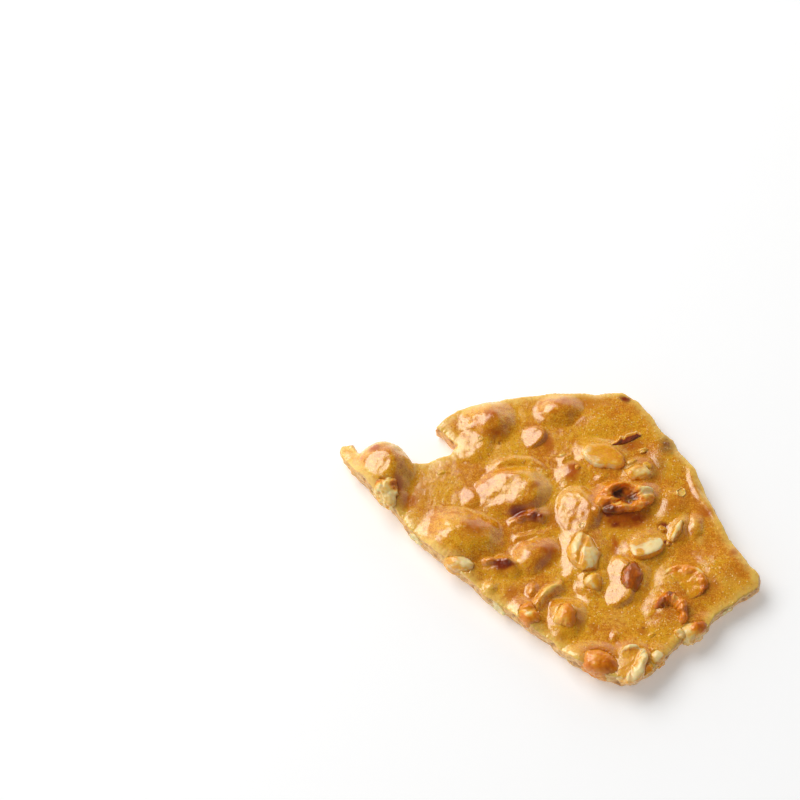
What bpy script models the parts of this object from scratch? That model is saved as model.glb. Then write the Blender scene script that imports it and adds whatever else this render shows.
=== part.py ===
"""One snapped piece of peanut brittle, lying on its flat underside.

Boiled sugar was poured over roasted peanuts, spread into a sheet and broken up when hard. The candy is one
solid: a flat-bottomed sheet with steep broken edges and a soft hump over each nut that it coats. Each peanut
that comes out of the candy, on top or at a broken edge, is a solid of its own in a pocket of the candy.

All the shape functions work in millimetres. X runs along the piece, Y across it and Z up from the underside.
"""

import math
from typing import NamedTuple

import bmesh
import bpy
from mathutils import Euler, Matrix, Vector, noise
from mathutils.geometry import delaunay_2d_cdt

MM = 0.001

# Driving sizes of the candy sheet.
SHEET = 5.6  # usual thickness
WAVE_RISE = 0.3  # slow swells of the poured surface
WAVE_LENGTH = 22.0
TIP_SHEET = 3.2  # thickness at the thin spit on the left
TIP_REACH = 9.0
TIP = (-52.0, 26.5)

# The broken edge.
EDGE_STEP = 2.6  # spacing of points along the break
EDGE_JAG = 0.35  # how far the break wanders off its straight runs
EDGE_JAG_LENGTH = 3.5
WALL_ROWS = ((0.64, 0.35), (0.3, -0.1), (0.0, -0.75))  # (share of the height, step outward)
WALL_ROUGH = 0.35

# Spacing of the points that carry each face.
TOP_STEP = 2.6
UNDER_STEP = 8.0
RIM_CLEARANCE = 0.6  # in steps, between the edge and the nearest inner point

POCKET_GAP = 0.3  # clearance between a peanut and the candy around it


# ---------------------------------------------------------------------------------------------------------
# The break line: corners of the upper rim, anticlockwise as seen from above.

FRONT_LEFT_BREAK = (
    (-52.0, 26.5), (-52.5, 24.8), (-49.0, 18.6), (-43.5, 12.2), (-38.5, 7.2), (-34.5, 1.6),
    (-28.5, -4.8), (-21.5, -11.0), (-15.0, -17.3), (-8.5, -22.4), (-1.0, -28.0), (4.0, -33.0),
)
FRONT_RIGHT_BREAK = (
    (10.5, -37.4), (17.0, -39.6), (20.5, -39.2), (24.5, -36.5), (29.0, -32.0), (32.0, -28.6),
    (38.5, -25.8), (40.5, -22.2), (46.0, -18.8), (52.0, -14.6),
)
RIGHT_EDGE = (
    (52.5, -11.5), (50.5, -9.0), (46.0, -2.0), (43.0, 5.0), (40.5, 12.0), (38.5, 18.5),
    (34.5, 24.0), (33.5, 27.0), (30.5, 29.5), (28.0, 34.5), (24.5, 39.0),
)
BACK_BREAK = (
    (21.0, 41.3), (13.0, 40.8), (3.5, 41.0), (-5.0, 39.8), (-13.5, 38.4), (-22.0, 36.0),
)
NOTCH = (
    (-25.5, 33.2), (-27.5, 31.0), (-25.0, 28.4), (-22.0, 25.4), (-24.0, 23.0), (-29.5, 20.6),
    (-34.0, 19.8),
)
LUMP_CENTRE = (-41.4, 17.8)
LUMP_RADIUS = 7.4
LUMP_ARC = (30.0, 120.0)  # the coated nut bulges into the notch along this arc, in degrees
SPIT = ((-47.4, 22.8), (-48.4, 24.2), (-49.4, 26.6))


def arc(centre, radius, start, end, step):
    """Points on an arc, in degrees from start to end, about step apart."""
    count = max(2, round(math.radians(abs(end - start)) * radius / step))
    angles = (math.radians(start + (end - start) * i / count) for i in range(count + 1))
    return [(centre[0] + radius * math.cos(a), centre[1] + radius * math.sin(a)) for a in angles]


def break_line():
    """The upper rim as a closed loop of points about EDGE_STEP apart, jagged a little between its corners."""
    lump = arc(LUMP_CENTRE, LUMP_RADIUS, *LUMP_ARC, EDGE_STEP)
    corners = [
        *FRONT_LEFT_BREAK, *FRONT_RIGHT_BREAK, *RIGHT_EDGE, *BACK_BREAK, *NOTCH, *lump, *SPIT,
    ]
    loop = []
    for a, b in zip(corners, corners[1:] + corners[:1]):
        start, run = Vector(a), Vector(b) - Vector(a)
        pieces = max(1, round(run.length / EDGE_STEP))
        across = Vector((run.y, -run.x)).normalized()
        for i in range(pieces):
            point = start + run * (i / pieces)
            jag = EDGE_JAG * noise.noise(point.to_3d() / EDGE_JAG_LENGTH)
            loop.append(point + across * jag)
    return loop


# ---------------------------------------------------------------------------------------------------------
# The peanuts. A profile is turned into an oval: (share of the plan size, share of the height) from the bottom up.

HALF = ((0.86, 0.02), (1.0, 0.22), (0.95, 0.5), (0.79, 0.77), (0.46, 0.95))
COIN = ((0.86, 0.02), (1.0, 0.4), (0.98, 0.76), (0.88, 0.95), (0.5, 1.0))
WHOLE = ((0.45, 0.06), (0.82, 0.24), (1.0, 0.5), (0.82, 0.78), (0.45, 0.95))
CUP = ((0.5, 0.04), (0.86, 0.26), (1.0, 0.62), (0.93, 0.88), (0.78, 1.0), (0.56, 0.7), (0.3, 0.62))
CUP_SEAT = ((0.5, 0.04), (0.86, 0.26), (1.0, 0.62), (1.0, 1.5))  # a cup's pocket is open at the top
SNAP_STANDS_OUT = 0.3  # a snapped peanut's face beyond the rim above it


class Peanut(NamedTuple):
    """A peanut, or a bit of one, that comes out of the candy. Its middle is at (x, y, z)."""

    name: str
    profile: tuple
    x: float
    y: float
    z: float
    length: float
    width: float
    height: float
    turn: float  # degrees about Z, of the long axis from +X
    pitch: float = 0.0  # degrees, raises the leading end of the long axis
    roll: float = 0.0  # degrees, raises the side to the left of the long axis
    cuts: tuple = ()  # where it is broken off: (degrees from the long axis, share of the half side)
    taper: float = 0.12  # how much slimmer its leading end is


def at_break(name, x, y, z, length, width, height, facing, cut):
    """A peanut snapped by the break at the rim point (x, y). Its long axis points out of the wall, at facing degrees."""
    back = cut * length / 2 - SNAP_STANDS_OUT
    out = math.radians(facing)
    x, y = x - back * math.cos(out), y - back * math.sin(out)
    return Peanut(name, WHOLE, x, y, z, length, width, height, facing, cuts=((0, cut),))


PEANUTS = (
    Peanut("golden_half", COIN, 15.2, 21.7, 5.8, 11.4, 7.2, 3.4, -20, 2, -7),
    Peanut("cream_chip", COIN, 24.6, -4.0, 5.9, 9.6, 6.4, 3.4, 14, 3, -12, ((76, 0.56), (180, 0.86))),
    Peanut("snapped_half", HALF, 9.0, -5.4, 6.3, 12.4, 8.6, 4.0, 98, -3, 4, ((180, 0.86),)),
    Peanut("small_chip", HALF, 11.0, -13.8, 5.9, 5.4, 4.8, 3.4, 60, 6, 0, ((0, 0.6),)),
    Peanut("tilted_half", COIN, 34.0, -13.2, 4.8, 11.4, 9.2, 4.2, -8, 9, 9),
    Peanut("arched_cup", CUP, 29.6, -21.9, 5.9, 9.4, 8.4, 5.0, 90, 2, -2),
    Peanut("red_skinned", WHOLE, 20.5, -12.4, 6.0, 9.6, 5.8, 4.8, 80),
    Peanut("round_small", WHOLE, 3.8, -22.8, 6.2, 7.4, 5.4, 5.2, 84, taper=0.24),
    Peanut("toasted_tip", HALF, 11.0, -34.9, 5.6, 8.6, 7.0, 5.0, -24),
    Peanut("rimmed_cup", CUP, 19.4, -35.5, 5.9, 10.2, 7.6, 4.8, 60, 0, -4),
    Peanut("corner_chip", HALF, 26.0, -33.4, 5.2, 5.2, 4.2, 3.4, 45, 0, 0, ((0, 0.6),)),
    Peanut("edge_nut", HALF, 35.0, -26.4, 5.0, 8.8, 4.6, 4.2, 26),
    Peanut("ringed_cup", HALF, -5.4, -22.2, 5.9, 6.4, 5.6, 3.8, -60, 0, 12),
    Peanut("left_edge_half", HALF, -21.8, -8.5, 5.6, 8.4, 4.8, 4.2, -20, 0, -6, ((0, 0.7),)),
    Peanut("toasted_cup", CUP, 19.8, 9.2, 6.7, 15.6, 8.0, 5.4, 10, 2, 2),
    Peanut("pale_half", HALF, 23.9, 17.2, 5.9, 7.6, 5.0, 3.6, 14, 0, 0, ((200, 0.7),)),
    Peanut("lump_tip", WHOLE, -40.5, 10.9, 6.4, 8.8, 6.2, 5.4, -78, -20, 0, ((180, 0.6),), 0.5),
    Peanut("sliver", HALF, 32.7, 1.2, 5.9, 7.0, 2.3, 3.4, 62, 0, 0, ((0, 0.8),)),
    at_break("notch_snap", -27.5, 21.7, 3.0, 9.0, 5.6, 3.8, 110, 0.5),
    at_break("back_snap_left", -10.0, 39.1, 3.1, 11.0, 6.2, 4.0, 100, 0.4),
    at_break("back_snap_right", 9.5, 40.8, 2.9, 10.0, 5.6, 3.8, 91, 0.6),
    at_break("right_snap_high", 36.4, 21.2, 3.0, 10.0, 5.8, 4.0, 38, 0.5),
    at_break("right_snap_low", 45.4, -1.0, 3.0, 11.0, 6.6, 4.0, 28, 0.3),
    at_break("front_snap_right", 43.4, -20.4, 3.0, 9.0, 5.4, 3.8, -58, 0.5),
    at_break("front_snap_middle", -13.0, -18.9, 3.0, 11.0, 6.4, 4.0, 223, 0.4),
    at_break("front_snap_left", -33.0, -0.1, 3.0, 10.0, 5.8, 3.8, 228, 0.6),
)


# ---------------------------------------------------------------------------------------------------------
# The upper face of the candy.


class Hump(NamedTuple):
    """Candy draped over a nut: an oval mound that meets the sheet without a crease."""

    x: float
    y: float
    half_length: float
    half_width: float
    turn: float  # degrees, from +X
    rise: float  # above the sheet; below zero for a dip
    fullness: float = 2.6  # higher is flatter on top
    foot: float = 2.0  # higher spreads the foot more


HUMPS = (
    Hump(-41.2, 18.6, 8.7, 7.7, 90, 5.8, 2.6, 2.6),
    Hump(-13.6, 32.0, 6.6, 5.6, 10, 3.0, 2.4),
    Hump(-18.4, 25.4, 5.0, 4.4, 0, 0.8, 3.0),
    Hump(-8.3, 12.0, 8.2, 6.2, 10, 3.2, 3.4, 1.6),
    Hump(-21.4, -1.2, 9.6, 7.6, -8, 3.8),
    Hump(-19.4, 10.8, 3.2, 2.8, 0, 0.8),
    Hump(-3.0, -5.8, 6.0, 3.9, 30, 2.4),
    Hump(8.2, 5.8, 7.4, 4.8, 92, 2.3, 3.0, 1.8),
    Hump(4.4, 35.8, 5.8, 4.2, 8, 2.3, 2.4),
    Hump(16.5, 33.2, 9.0, 5.5, 0, 0.6),
    Hump(31.2, 20.6, 6.6, 4.2, 105, 0.5),
    Hump(31.2, 7.8, 6.4, 4.6, 60, 0.9, 2.4, 2.4),
    Hump(37.4, 2.4, 3.4, 1.8, 80, 0.8),
    Hump(44.0, -10.4, 8.0, 6.5, -20, 0.8),
    Hump(-4.0, 4.4, 5.0, 3.6, 10, 1.2, 2.4),
    Hump(-2.2, 28.0, 2.8, 2.5, 20, 1.7, 4.0, 1.4),
    Hump(-11.4, -9.2, 5.2, 2.8, -8, 1.5),
    Hump(7.0, 17.2, 4.4, 4.0, 60, 0.8),
    Hump(13.8, 16.6, 2.6, 2.0, 10, 0.8),
    Hump(17.8, -13.4, 6.2, 3.6, 84, 2.0, 4.0, 1.4),
    Hump(-14.6, -15.0, 2.0, 1.8, -40, 0.8),
    Hump(6.4, -34.4, 4.2, 3.6, -40, 1.2),
    Hump(-0.2, -16.6, 5.6, 2.0, 48, 1.4),
    Hump(5.4, -17.2, 4.4, 3.6, 0, -0.7),
)
SKIRT = 1.25  # how far a hump's foot spreads past its half sides
COLLAR_REACH = 1.5  # how far the candy that climbs round a peanut spreads
COLLAR_SHARE = 0.42  # of what stands out of the sheet


def collar(nut):
    """The candy that climbs a little way up round a peanut."""
    stands = nut.z + nut.height / 2 - SHEET
    half_sides = (nut.length / 2 + COLLAR_REACH, nut.width / 2 + COLLAR_REACH)
    return Hump(nut.x, nut.y, *half_sides, nut.turn, COLLAR_SHARE * stands, 3.0)


ALL_HUMPS = HUMPS + tuple(collar(nut) for nut in PEANUTS if nut.z > SHEET - 1)


def mound(hump, x, y):
    """How much a hump adds to the sheet at a point."""
    turn = math.radians(hump.turn)
    dx, dy = x - hump.x, y - hump.y
    along = (dx * math.cos(turn) + dy * math.sin(turn)) / hump.half_length
    across = (dy * math.cos(turn) - dx * math.sin(turn)) / hump.half_width
    out = min(1.0, math.hypot(along, across) / SKIRT)
    return hump.rise * (1 - out**hump.fullness) ** hump.foot


def upper_face(x, y):
    """Height of the candy's upper face above the underside."""
    sheet = SHEET + WAVE_RISE * noise.noise(Vector((x, y, 0)) / WAVE_LENGTH)
    near_tip = max(0.0, 1 - math.dist((x, y), TIP) / TIP_REACH)
    sheet -= (SHEET - TIP_SHEET) * near_tip
    mounds = [mound(hump, x, y) for hump in ALL_HUMPS]
    raised = sum(m**4 for m in mounds if m > 0) ** 0.25
    return sheet + raised + sum(m for m in mounds if m < 0)


# ---------------------------------------------------------------------------------------------------------
# The candy solid.


def inside(loop, x, y):
    """True if a point lies within a closed loop."""
    odd = False
    for a, b in zip(loop, loop[1:] + loop[:1]):
        if (a.y > y) != (b.y > y) and x < a.x + (b.x - a.x) * (y - a.y) / (b.y - a.y):
            odd = not odd
    return odd


def triangulated(loop, step):
    """Points and triangles that fill a loop, on a grid of equal triangles. The loop's points come first."""
    points = [p.copy() for p in loop]
    low_x, high_x = min(p.x for p in loop), max(p.x for p in loop)
    low_y, high_y = min(p.y for p in loop), max(p.y for p in loop)
    row_gap = step * math.sqrt(3) / 2
    for row in range(int((high_y - low_y) / row_gap)):
        y = low_y + (row + 0.5) * row_gap
        for column in range(int((high_x - low_x) / step)):
            x = low_x + (column + 0.5 * (row % 2)) * step
            near = min((p - Vector((x, y))).length_squared for p in loop)
            if near > (RIM_CLEARANCE * step) ** 2 and inside(loop, x, y):
                points.append(Vector((x, y)))
    found = delaunay_2d_cdt(points, [], [list(range(len(loop)))], 1, 1e-6)
    return found[0], found[2]


def outward(loop, i):
    """Unit vector pointing out of an anticlockwise loop at one of its points."""
    run = loop[(i + 1) % len(loop)] - loop[i - 1]
    return Vector((run.y, -run.x)).normalized()


def wall_point(loop, i, share, step):
    """A point of the broken wall below the rim's point i, at a share of the height."""
    height = upper_face(loop[i].x, loop[i].y) * share
    rough = WALL_ROUGH * noise.noise(Vector((loop[i].x, loop[i].y, 4 * height)) / 4)
    return (loop[i] + outward(loop, i) * (step + rough)).to_3d() + Vector((0, 0, height))


def candy_mesh():
    """The candy as a closed bmesh: upper face, broken wall and flat underside."""
    rim = break_line()
    shape = bmesh.new()

    top_points, top_faces = triangulated(rim, TOP_STEP)
    top = [shape.verts.new((p.x, p.y, upper_face(p.x, p.y))) for p in top_points]
    for face in top_faces:
        shape.faces.new([top[i] for i in face])

    ring = top[: len(rim)]
    for share, step in WALL_ROWS:
        lower = [shape.verts.new(wall_point(rim, i, share, step)) for i in range(len(rim))]
        for i in range(len(rim)):
            j = (i + 1) % len(rim)
            shape.faces.new((ring[i], lower[i], lower[j], ring[j]))
        ring = lower

    foot = [v.co.to_2d() for v in ring]
    under_points, under_faces = triangulated(foot, UNDER_STEP)
    under = ring + [shape.verts.new((p.x, p.y, 0)) for p in under_points[len(ring) :]]
    for face in under_faces:
        shape.faces.new([under[i] for i in reversed(face)])

    bmesh.ops.triangulate(shape, faces=shape.faces[:])
    bmesh.ops.recalc_face_normals(shape, faces=shape.faces[:])
    return shape


# ---------------------------------------------------------------------------------------------------------
# The peanuts as solids, and their pockets.

SEGMENTS = 12


def turned(profile, length, width, height, taper):
    """A closed bmesh of a profile turned into an oval that is slimmer at its +X end."""
    shape = bmesh.new()
    rings = []
    for size, level in profile:
        ring = []
        for i in range(SEGMENTS):
            angle = 2 * math.pi * i / SEGMENTS
            along = math.cos(angle) * size
            across = math.sin(angle) * size * (1 - taper * along)
            ring.append(
                shape.verts.new((along * length / 2, across * width / 2, (level - 0.5) * height))
            )
        rings.append(ring)
    for lower, upper in zip(rings, rings[1:]):
        for i in range(SEGMENTS):
            j = (i + 1) % SEGMENTS
            shape.faces.new((lower[i], lower[j], upper[j], upper[i]))
    shape.faces.new(list(reversed(rings[0])))
    shape.faces.new(rings[-1])
    return shape


def peanut_mesh(nut, grow=0.0):
    """A peanut in its place, made larger by grow on every side."""
    sides = (nut.length + 2 * grow, nut.width + 2 * grow, nut.height + 2 * grow)
    profile = CUP_SEAT if grow and nut.profile is CUP else nut.profile
    shape = turned(profile, *sides, nut.taper)
    for degrees, share in nut.cuts:
        out = Vector((math.cos(math.radians(degrees)), math.sin(math.radians(degrees)), 0))
        reach = share * math.hypot(out.x * nut.length / 2, out.y * nut.width / 2) + grow
        everything = shape.verts[:] + shape.edges[:] + shape.faces[:]
        bmesh.ops.bisect_plane(
            shape, geom=everything, plane_co=out * reach, plane_no=out, clear_outer=True
        )
        bmesh.ops.holes_fill(shape, edges=shape.edges[:])
    lean = Euler((math.radians(nut.roll), math.radians(-nut.pitch), math.radians(nut.turn)))
    shape.transform(Matrix.Translation((nut.x, nut.y, nut.z)) @ lean.to_matrix().to_4x4())
    bmesh.ops.triangulate(shape, faces=shape.faces[:])
    bmesh.ops.recalc_face_normals(shape, faces=shape.faces[:])
    return shape


# ---------------------------------------------------------------------------------------------------------
# Materials and objects.


def finish(name, colour, roughness):
    """A plain material of the given linear colour."""
    material = bpy.data.materials.new(name)
    material.use_nodes = True
    shader = material.node_tree.nodes["Principled BSDF"]
    shader.inputs["Base Color"].default_value = (*colour, 1.0)
    shader.inputs["Roughness"].default_value = roughness
    shader.inputs["Metallic"].default_value = 0.0
    return material


def solid(name, shape, material):
    """An object from a bmesh in millimetres."""
    bmesh.ops.scale(shape, vec=(MM, MM, MM), verts=shape.verts[:])
    mesh = bpy.data.meshes.new(name)
    shape.to_mesh(mesh)
    shape.free()
    mesh.materials.append(material)
    mesh.shade_smooth()
    mesh.set_sharp_from_angle(angle=math.radians(40))
    made = bpy.data.objects.new(name, mesh)
    bpy.context.scene.collection.objects.link(made)
    return made


def pocket(candy, nut, material):
    """Cuts a peanut's seat out of the candy, with a cutter that isn't part of the object."""
    cutter = solid(nut.name + "_seat", peanut_mesh(nut, POCKET_GAP), material)
    cutter.hide_render = True
    cutter.display_type = "WIRE"
    cut = candy.modifiers.new(nut.name, "BOOLEAN")
    cut.operation = "DIFFERENCE"
    cut.object = cutter


def build():
    for old in list(bpy.data.objects):
        bpy.data.objects.remove(old)
    candy_finish = finish("golden_candy", (0.56, 0.26, 0.035), 0.25)
    cream = finish("cream_nut", (0.85, 0.62, 0.28), 0.45)
    toasted = finish("toasted_nut", (0.5, 0.16, 0.02), 0.4)
    browned = {
        "tilted_half", "arched_cup", "red_skinned", "round_small", "toasted_tip",
        "toasted_cup", "ringed_cup",
    }
    candy = solid("candy", candy_mesh(), candy_finish)
    for nut in PEANUTS:
        material = toasted if nut.name in browned else cream
        solid("peanut_" + nut.name, peanut_mesh(nut), material)
        pocket(candy, nut, material)


build()
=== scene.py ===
import math
from typing import NamedTuple

import bmesh
import bpy
import numpy as np
from mathutils import Euler, Matrix, Vector, noise
from mathutils.geometry import delaunay_2d_cdt


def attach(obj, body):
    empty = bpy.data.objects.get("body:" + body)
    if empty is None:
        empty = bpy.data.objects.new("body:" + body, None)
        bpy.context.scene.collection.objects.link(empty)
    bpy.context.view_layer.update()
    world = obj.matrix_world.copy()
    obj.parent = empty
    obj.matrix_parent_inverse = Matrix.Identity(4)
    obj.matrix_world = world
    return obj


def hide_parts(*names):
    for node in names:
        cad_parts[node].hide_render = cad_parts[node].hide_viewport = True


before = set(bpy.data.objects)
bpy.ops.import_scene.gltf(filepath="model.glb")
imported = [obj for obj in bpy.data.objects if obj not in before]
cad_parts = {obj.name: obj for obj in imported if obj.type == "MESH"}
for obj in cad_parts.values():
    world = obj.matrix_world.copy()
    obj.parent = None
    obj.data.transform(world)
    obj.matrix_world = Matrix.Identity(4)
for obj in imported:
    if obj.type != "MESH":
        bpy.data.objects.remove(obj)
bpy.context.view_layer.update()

# ---------------------------------------------------------------------------------------------------------
# The table and the light.
# The piece lies on a pale matt table. A large softbox hangs to its left and a little behind, with its lower
# part under a black skirt. Pale walls all round light it softly, and the ceiling is dark.

MM = 0.001
TABLE_SIZE = 2.0  # metres
TABLE_WHITE = (0.93, 0.93, 0.93, 1)
TABLE_GLOW = 0.23  # keeps the table white where the softbox lights it less
SOFTBOX_FROM = Vector((-0.59, 0.45, 0.67))
# Its diffuser and the brighter middle: (distance, side, watts without the skirt).
SOFTBOX_LAYERS = ((1.2, 1.25, 9.35), (1.1, 0.9, 7.07))
SKIRT_FROM = math.radians(10)  # how far below its middle the skirt starts
WALLS = (1.0, 1.0, 1.0)
CEILING = (0.12, 0.12, 0.115)
WALLS_END = (0.35, 0.75)  # heights, as the sine of the elevation, between which the ceiling takes over
FAR_SIDE = 0.34  # how bright the front right of the room is, against the back left
FAR_SIDE_FROM = (-0.5, 1.2)  # where the walls start to darken towards it, and where they are darkest

scene = bpy.context.scene
scene.view_settings.view_transform = "Standard"


class Wire:
    """A value inside a material. Sums, products and so on of it add their Math nodes to the material."""

    def __init__(self, tree, socket=None):
        self.tree = tree
        self.socket = socket

    def node(self, kind, inputs, out=0, stops=None, **settings):
        """Adds a node: its settings first, then the values or links of its sockets."""
        made = self.tree.nodes.new("ShaderNode" + kind)
        for name, value in settings.items():
            setattr(made, name, value)
        if stops:
            ramp = made.color_ramp
            while len(ramp.elements) < len(stops):
                ramp.elements.new(0.5)
            for element, (place, colour) in zip(ramp.elements, stops):
                element.position = place
                element.color = (*colour, 1)
        for name, value in inputs.items():
            socket = next(s for s in made.inputs if name in (s.identifier, s.name))
            if isinstance(value, Wire):
                self.tree.links.new(value.socket, socket)
            else:
                socket.default_value = value
        return Wire(self.tree, made.outputs[out])

    def maths(self, operation, *values):
        inputs = {("Value", "Value_001")[i]: value for i, value in enumerate(values)}
        return self.node("Math", inputs, operation=operation)

    def __add__(self, other):
        return self.maths("ADD", self, other)

    def __sub__(self, other):
        return self.maths("SUBTRACT", self, other)

    def __rsub__(self, other):
        return self.maths("SUBTRACT", other, self)

    def __mul__(self, other):
        return self.maths("MULTIPLY", self, other)

    __radd__ = __add__
    __rmul__ = __mul__

    def between(self, low, high):
        """0 at low and 1 at high, with soft ends."""
        inputs = {"Value": self, "From Min": low, "From Max": high}
        return self.node("MapRange", inputs, interpolation_type="SMOOTHSTEP")

    def feeds(self, shader, socket):
        self.tree.links.new(self.socket, shader.inputs[socket])


def rgba(colour):
    return colour if isinstance(colour, Wire) else (*colour, 1)


def blend_colour(amount, first, second):
    """A colour that goes from the first to the second as amount goes from 0 to 1."""
    inputs = {"Factor_Float": amount, "A_Color": rgba(first), "B_Color": rgba(second)}
    return amount.node("Mix", inputs, out=2, data_type="RGBA")


def new_finish(name, **constants):
    """A material, a wire to start its values from, and its shader."""
    material = bpy.data.materials.new(name)
    material.use_nodes = True
    shader = material.node_tree.nodes["Principled BSDF"]
    for socket, value in constants.items():
        shader.inputs[socket.replace("_", " ")].default_value = value
    return material, Wire(material.node_tree), shader


def placed(name, data):
    """An object of that name in the scene, at the origin."""
    made = bpy.data.objects.new(name, data)
    scene.collection.objects.link(made)
    return made


matt, _, _ = new_finish(
    "table_top", Base_Color=TABLE_WHITE, Roughness=0.9, Specular_IOR_Level=0.1, Emission_Color=(1, 1, 1, 1),
    Emission_Strength=TABLE_GLOW,
)
half = TABLE_SIZE / 2
table_mesh = bpy.data.meshes.new("table")
corners = [(-half, -half, 0), (half, -half, 0), (half, half, 0), (-half, half, 0)]
table_mesh.from_pydata(corners, [], [(0, 1, 2, 3)])
table_mesh.materials.append(matt)
table = placed("table", table_mesh)

for distance, side, watts in SOFTBOX_LAYERS:
    covered = side / 2 - distance * math.tan(SKIRT_FROM)
    softbox_data = bpy.data.lights.new("softbox", "AREA")
    softbox_data.shape = "RECTANGLE"
    softbox_data.size = side
    softbox_data.size_y = side - covered
    softbox_data.energy = watts * (side - covered) / side
    turned = SOFTBOX_FROM.to_track_quat("Z", "Y")
    softbox = placed("softbox", softbox_data)
    softbox.location = SOFTBOX_FROM.normalized() * distance + turned @ Vector((0, covered / 2, 0))
    softbox.rotation_euler = turned.to_euler()

room = bpy.data.worlds.new("room")
room.use_nodes = True
scene.world = room
light = room.node_tree.nodes["Background"]
direction = Wire(room.node_tree).node("TexCoord", {}, out="Generated")
right, back, up = (direction.node("SeparateXYZ", {"Vector": direction}, out=axis) for axis in "XYZ")
blend_colour(up.between(*WALLS_END), WALLS, CEILING).feeds(light, "Color")
(1 - (1 - FAR_SIDE) * (right - back).between(*FAR_SIDE_FROM)).feeds(light, "Strength")

# ---------------------------------------------------------------------------------------------------------
# The camera.
# It stands in front of the piece and looks down by 60 degrees, at a point on the table that is left of the
# piece and behind it, so that the piece lies in the lower right of the view.

VIEW_DOWN = math.radians(60)
AIM = Vector((-37.05, 42.15, 0)) * MM
CAMERA_DISTANCE = 0.585  # metres

camera_data = bpy.data.cameras.new("camera")
camera_data.lens = 100  # millimetres, as is the sensor
camera_data.sensor_width = 36
camera = placed("camera", camera_data)
camera.rotation_euler = (math.pi / 2 - VIEW_DOWN, 0, 0)
camera.location = AIM + CAMERA_DISTANCE * Vector((0, -math.cos(VIEW_DOWN), math.sin(VIEW_DOWN)))
scene.camera = camera

# ---------------------------------------------------------------------------------------------------------
# The broken outline of the candy.
# The sheet was snapped by hand when hard, so its edge is a run of short straight breaks with small jags.
# All shapes are worked out in millimetres.

FINE_STEP = 0.36  # spacing of the points along the rim and over the upper face
JAGS = ((0.35, 3.5), (0.1, 0.9))  # (how far the break wanders off its straight runs, over what length)

FRONT_LEFT_BREAK = (
    (-52.0, 26.5), (-52.5, 24.8), (-49.0, 18.6), (-43.5, 12.2), (-38.5, 7.2), (-34.5, 1.6),
    (-28.5, -4.8), (-21.5, -11.0), (-15.0, -17.3), (-8.5, -22.4), (-1.0, -28.0), (4.0, -33.0),
)
FRONT_RIGHT_BREAK = (
    (10.5, -37.4), (17.0, -39.6), (20.5, -39.2), (24.5, -36.5), (29.0, -32.0), (32.0, -28.6),
    (38.5, -25.8), (40.5, -22.2), (46.0, -18.8), (52.0, -14.6),
)
RIGHT_EDGE = (
    (52.5, -11.5), (50.5, -9.0), (46.0, -2.0), (43.0, 5.0), (40.5, 12.0), (38.5, 18.5),
    (34.5, 24.0), (33.5, 27.0), (30.5, 29.5), (28.0, 34.5), (24.5, 39.0),
)
BACK_BREAK = (
    (21.0, 41.3), (13.0, 40.8), (3.5, 41.0), (-5.0, 39.8), (-13.5, 38.4), (-22.0, 36.0),
)
NOTCH = (
    (-25.5, 33.2), (-27.5, 31.0), (-25.0, 28.4), (-22.0, 25.4), (-24.0, 23.0), (-29.5, 20.6),
    (-34.0, 19.8),
)
LUMP_CENTRE = (-41.4, 17.8)
LUMP_RADIUS = 7.4
LUMP_ARC = (30.0, 120.0)  # degrees
LUMP_STEP = 2.4
SPIT = ((-47.4, 22.8), (-48.4, 24.2), (-49.4, 26.6))


def arc(centre, radius, start, end, step):
    """Points on an arc, in degrees from start to end, about step apart."""
    count = max(2, round(math.radians(abs(end - start)) * radius / step))
    angles = np.radians(np.linspace(start, end, count + 1))
    return [(centre[0] + radius * math.cos(a), centre[1] + radius * math.sin(a)) for a in angles]


def grain(x, y, z, length):
    """Smooth noise of about that length at each point, between -1 and 1."""
    return np.array([noise.noise(Vector(p) / length) for p in zip(x, y, z)])


def break_line():
    """The upper rim as an anticlockwise loop of points FINE_STEP apart."""
    lump = arc(LUMP_CENTRE, LUMP_RADIUS, *LUMP_ARC, LUMP_STEP)
    corners = [*FRONT_LEFT_BREAK, *FRONT_RIGHT_BREAK, *RIGHT_EDGE, *BACK_BREAK, *NOTCH, *lump, *SPIT]
    loop = []
    for a, b in zip(corners, corners[1:] + corners[:1]):
        start, run = np.array(a), np.array(b) - np.array(a)
        length = np.hypot(*run)
        pieces = max(1, round(length / FINE_STEP))
        at = start + run * (np.arange(pieces) / pieces)[:, None]
        across = np.array((run[1], -run[0])) / length
        jag = sum(depth * grain(at[:, 0], at[:, 1], np.zeros(pieces), reach) for depth, reach in JAGS)
        loop.append(at + across * jag[:, None])
    return np.concatenate(loop)


def distance_to(loop, x, y):
    """Distance from each point to the nearest point of a loop."""
    nearest = np.full(len(x), np.inf)
    for lx, ly in loop:
        nearest = np.minimum(nearest, (x - lx) ** 2 + (y - ly) ** 2)
    return np.sqrt(nearest)


rim = break_line()
coarse_rim = rim[::3]

# ---------------------------------------------------------------------------------------------------------
# Where the peanuts come out of the candy, on top and at the broken edge.
# They are roasted halves and bits, some with their red skin, that the syrup was poured over. Their places
# are those of the solids in the frame. Their meshes come after the candy, which colours their feet.

SNAP_STANDS_OUT = 0.3


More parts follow.
